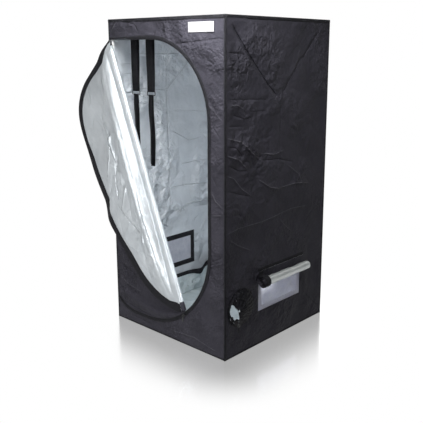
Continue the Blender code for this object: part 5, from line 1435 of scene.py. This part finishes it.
webbing = ribbed_tape("webbing", (0.005, 0.005, 0.006), (0.012, 0.012, 0.014), 0.0022, 0.42)
nickel = clouded("black_nickel_wire", (0.05, 0.05, 0.055), 0.34, {"Metallic": 1.0}, 80.0, (0.03, 0.03, 0.033),
                 (0.09, 0.09, 0.095), (0.26, 0.46))[0]


def webbing_band(name, path, x, width, body, node, closed, phase, curl, twist=0.0):
    """Webbing along a (y, z) path: w across, rippled by curl * sin of its way. A twist turns it about its
    own middle by that angle, which may change along its way."""
    across = np.linspace(-0.5, 0.5, 13)
    along = unit(np.gradient(path, axis=0))[:, None]
    way = way_along(path)[:, None]
    share = way / way[-1]
    slack = np.sin(math.pi * share) ** 2 if closed else smooth(share * 6)
    ripple = curl * np.sin(way / 0.05 + phase) * (across * 2) ** 2 * slack
    ripple = ripple + 0.4 * curl * np.sin(way / 0.031 + phase) * across * slack
    twist = np.broadcast_to(twist, len(path))[:, None]
    y = path[:, :1] - along[..., 1] * ripple + width * across * np.sin(twist)
    points = stacked(x + width * across * np.cos(twist), y, path[:, 1:] + along[..., 0] * ripple)
    return surface(name, points, [webbing], node, STRAP_CLOTH, 0, body,
                   uv=stacked(way, width * across))


for name, x, front_tail, rear_tail, phase in (
    ("strap_a", -0.315, 0.365, 0.325, 0.0),
    ("strap_b", -0.198, 0.355, 0.365, 1.7),
):
    ring_z = TOP_RAIL_Z - STRAP_DROP
    grip, ring_grip = BAR_RADIUS + SEAM_GAP + STRAP_CLOTH / 2, RING_WIRE + SEAM_GAP + STRAP_CLOTH / 2
    top = arc_points((FRONT_BAR_Y, TOP_RAIL_Z), grip, 0, math.pi, 30)
    foot = arc_points((FRONT_BAR_Y, ring_z), ring_grip, math.pi, 2 * math.pi, 16)
    loop_path = even_points(np.concatenate([top, foot, top[:1]]), 260)
    loop = webbing_band(f"{name}_webbing_loop", loop_path, x, 0.050, name, f"{name}_loop", True, phase,
                        0.0011)

    corners = []
    for k, (dx, dz) in enumerate(((1, 0), (-1, 0), (-1, -1), (1, -1))):
        centre = (x + dx * (RING_WIDTH / 2 - RING_CORNER),
                  ring_z - RING_CORNER + dz * (RING_HEIGHT - 2 * RING_CORNER))
        corners.append(arc_points(centre, RING_CORNER, k * math.pi / 2, (k + 1) * math.pi / 2, 8))
    line = even_points(np.concatenate(corners + [corners[0][:1]]), 121)[:-1]
    ring_along = unit(np.roll(line, -1, axis=0) - np.roll(line, 1, axis=0))
    ring_out = np.stack([ring_along[:, 1], -ring_along[:, 0]], -1)
    turn = full_turn(16)
    wire = line[:, None] + ring_out[:, None] * (RING_WIRE * np.cos(turn))[None, :, None]
    wire = stacked(wire[..., 0], FRONT_BAR_Y + RING_WIRE * np.sin(turn), wire[..., 1])
    close_ends(surface(f"{name}_wire_ring", np.concatenate([wire, wire[:1]]), [nickel],
                       f"{name}_ring",
                       body=f"{name}_ring", closed=True))

    tail_z = ring_z - RING_HEIGHT
    front_share, rear_share = np.linspace(1, 0.04, 60), np.linspace(0.04, 1, 60)
    front_lean = (0.002 + 0.004 * np.sin(math.pi * front_share * 0.6 + 0.2)) * smooth(front_share / 0.15)
    rear_lean = 0.004 * np.abs(np.sin(math.pi * rear_share))
    front_run = stacked(FRONT_BAR_Y - ring_grip - front_lean, tail_z - front_tail * front_share)
    rear_run = stacked(FRONT_BAR_Y + ring_grip + rear_lean, tail_z - rear_tail * rear_share)
    turn_over = arc_points((FRONT_BAR_Y, tail_z), ring_grip, math.pi, 0, 16)
    tail_path = even_points(np.concatenate([front_run, turn_over, rear_run]), 320)
    way = np.linspace(-front_tail, rear_tail, 320)
    twist = -0.45 * smooth((-way - 0.04) / 0.20) + 0.25 * smooth((way - 0.04) / 0.15)
    tail = webbing_band(f"{name}_webbing_tail", tail_path, x, 0.025, f"{name}_tail", f"{name}_tail", False,
                        phase,
                        0.0022, twist)

    box = stacked(x + np.array([-0.019, 0.019, 0.019, -0.019, -0.019]), FRONT_BAR_Y - ring_grip - 0.0021,
                  ring_z + np.array([0.024, 0.024, 0.058, 0.058, 0.024]))
    sew(f"{name}_box_stitching", [box, box[[0, 2]], box[[1, 3]]], (0, -1, 0), black_thread, 0.004, STITCH,
        name,
        "webbing")

# Floor liner: a loose tray of the silver film cloth that stands inside the floor rails, its rim hemmed in
# black tape that sags and bunches along the left side.

TRAY_HALF, TRAY_HEIGHT = POST_PLACE - SOCKET_RADIUS - 0.003, 0.139
TRAY_BASE = CLOTH + SEAM_GAP + 0.0005
RIM_COUNT = 520

x, y = grid(*[np.linspace(-TRAY_HALF, TRAY_HALF, 101)] * 2)
height, _ = fold_lines(x, y, [(10, 1, -360, 0, 360, 0), (10, 1, 0, -360, 0, 360)])
height = height + np.abs(crumple(x, y, (0, 0), (0.2, 0.2), 50, 0.06, 0.0008, 101))
edge = TRAY_HALF - np.maximum(np.abs(x), np.abs(y))
tray_top = TRAY_BASE + 0.0005 + np.clip(height, 0, 0.001) * smooth(edge / 0.05)
liner_film = silver_lining("liner_film", (0.44, 0.50, 0.52), (0.56, 0.62, 0.64), 0.3, 0.45)
liner_floor = surface("liner_floor", stacked(x, y, tray_top), [liner_film], "floor_tray",
                      0.001,
                      body="tray")

rim_square = np.array([(-1, -1), (1, -1), (1, 1), (-1, 1), (-1, -1)]) * TRAY_HALF
rim_path = even_points(rim_square, RIM_COUNT + 1)[:-1]
rim_along = np.linspace(0, 8 * TRAY_HALF, RIM_COUNT, endpoint=False)
rim_in = unit(-np.where(np.abs(np.abs(rim_path) - TRAY_HALF) < 1e-6, np.sign(rim_path), 0))
corner_fade = smooth((TRAY_HALF - np.max(np.abs(np.where(rim_in == 0, rim_path, 0)), axis=1)) / 0.05)
on_left = (rim_path[:, 0] < -TRAY_HALF + 1e-6).astype(float)
bunch = on_left * np.exp(-(((rim_path[:, 1] - 0.20) / 0.040) ** 2))


def liner_wall(rises):
    """The liner's upright wall at shares of its height.

    It leans in by slow waves that grow upwards, and by the bunch on the left. Its rim sags by faint long
    waves, less a rise of 28 mm towards the rear of the left side."""
    waves = (0.0020 * (1 + np.sin(rim_along / 0.061)) + 0.001 * (1 + np.sin(rim_along / 0.017 + 2)))[:, None]
    lean = waves * rises**1.5 + 0.022 * bunch[:, None] * smooth((rises - 0.5) / 0.4)
    sag = 0.0012 * (1 + np.sin(rim_along / 0.12 + 1)) - 0.028 * on_left * smooth((rim_path[:, 1] - 0.19)
                                                                                 / 0.12)
    flat = rim_path[:, None] + rim_in[:, None] * (lean * corner_fade[:, None])[..., None]
    return np.dstack([flat, TRAY_BASE + TRAY_HEIGHT * rises - (sag * corner_fade)[:, None] * rises])


wall_points = liner_wall(np.linspace(0, 1, 30))
liner_side = surface("liner_wall", np.concatenate([wall_points, wall_points[:1]]), [liner_film],
                     None,
                     0.001, 0, "tray", "columns")
hem_rises = 1 - np.array([0.17, 0.168, 0.12, 0.06, 0.005, 0.0])
rim_inward = np.pad(rim_in, ((0, 0), (0, 1)))[:, None]
hem_inner = liner_wall(hem_rises) + 0.0012 * rim_inward
hem_outer = liner_wall(hem_rises[::-1]) - 0.0010 * rim_inward
hem_points = np.concatenate([hem_inner, hem_outer], axis=1)
hem_points[:, 5:7, 2] += 0.0007
hem_points[:, [0, 1, 10, 11], 2] -= (0.014 * bunch)[:, None]
surface("liner_hem", np.concatenate([hem_points, hem_points[:1]]), [black_tape], None, 0.0004,
        body="tray", turned="columns",
        uv=stacked(np.append(rim_along, 8 * TRAY_HALF)[:, None], np.linspace(0, 0.04, 12)))

# Label: a blank white satin patch, lockstitched to the front panel above the doorway's right end. Its edge
# lies flat under the stitches and puckers a little between them.

LABEL_LOW, LABEL_HIGH, LABEL_HEM = (0.178, 1.528), (0.336, 1.573), 0.003
x, z = grid(np.linspace(LABEL_LOW[0], LABEL_HIGH[0], 60), np.linspace(LABEL_LOW[1], LABEL_HIGH[1], 22))
edge = np.minimum(np.minimum(x - LABEL_LOW[0], LABEL_HIGH[0] - x),
                  np.minimum(z - LABEL_LOW[1], LABEL_HIGH[1] - z))
pucker = 0.0003 * np.sin(x / 0.0035) * smooth((0.008 - edge) / 0.006)
points = stacked(x, -TENT_HALF - 0.0030 - 0.0009 * smooth(edge / 0.010) - pucker, z)
white_satin, tree, shader, place, cloud = clouded("white_satin", (0.48, 0.48, 0.49), 0.5,
                                                  {"Specular IOR Level": 0.3},
                                                  110.0, (0.43, 0.43, 0.44), (0.52, 0.52, 0.53))
axes = axes_of(tree, place)
bumps(tree, shader, [(cloud, 0.001, 0.3), (threads(tree, axes["X"], axes["Z"], 0.0007), 0.0002, 0.4)])
surface("blank_label", points, [white_satin], None, 0.0006)
left, low, right, high = np.append(LABEL_LOW, LABEL_HIGH) + LABEL_HEM * np.array([1, 1, -1, -1])
label_row = stacked([left, right, right, left, left], -TENT_HALF - 0.0036, [low, low, high, high, low])
dark_thread = plain_thread("dark_thread", (0.05, 0.05, 0.055))
sew("label_stitching", [label_row], (0, -1, 0), dark_thread, 0.0036, (0.0026, 0.0008, 0.0006))

# Zip slider and puller: cast in black, at the foot of the fold where the zip stops. Both are the frame's own
# solids with their edges rounded.


def rounded_copy(name, node, width, material, body):
    """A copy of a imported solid, its loose triangles merged and its edges rounded."""
    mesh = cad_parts[node].data.copy()
    edit = bmesh.new()
    edit.from_mesh(mesh)
    bmesh.ops.remove_doubles(edit, verts=edit.verts, dist=0.000005)
    bmesh.ops.dissolve_limit(edit, angle_limit=math.radians(3), verts=edit.verts, edges=edit.edges)
    edit.to_mesh(mesh)
    edit.free()
    mesh.materials.clear()
    mesh.materials.append(material)
    mesh.name = name
    made = in_scene(name, mesh)
    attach(made, body)
    edge = made.modifiers.new("rounding", "BEVEL")
    edge.width = width
    edge.segments = 3
    edge.limit_method = "ANGLE"
    edge.angle_limit = math.radians(35)
    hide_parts(node)


cast_black = moulded_plastic("cast_black", (0.020, 0.020, 0.021), 0.30)
rounded_copy("slider_body", "zip_slider", 0.0005, cast_black, "slider")
rounded_copy("puller_tab", "zip_puller", 0.0004, cast_black, "puller")
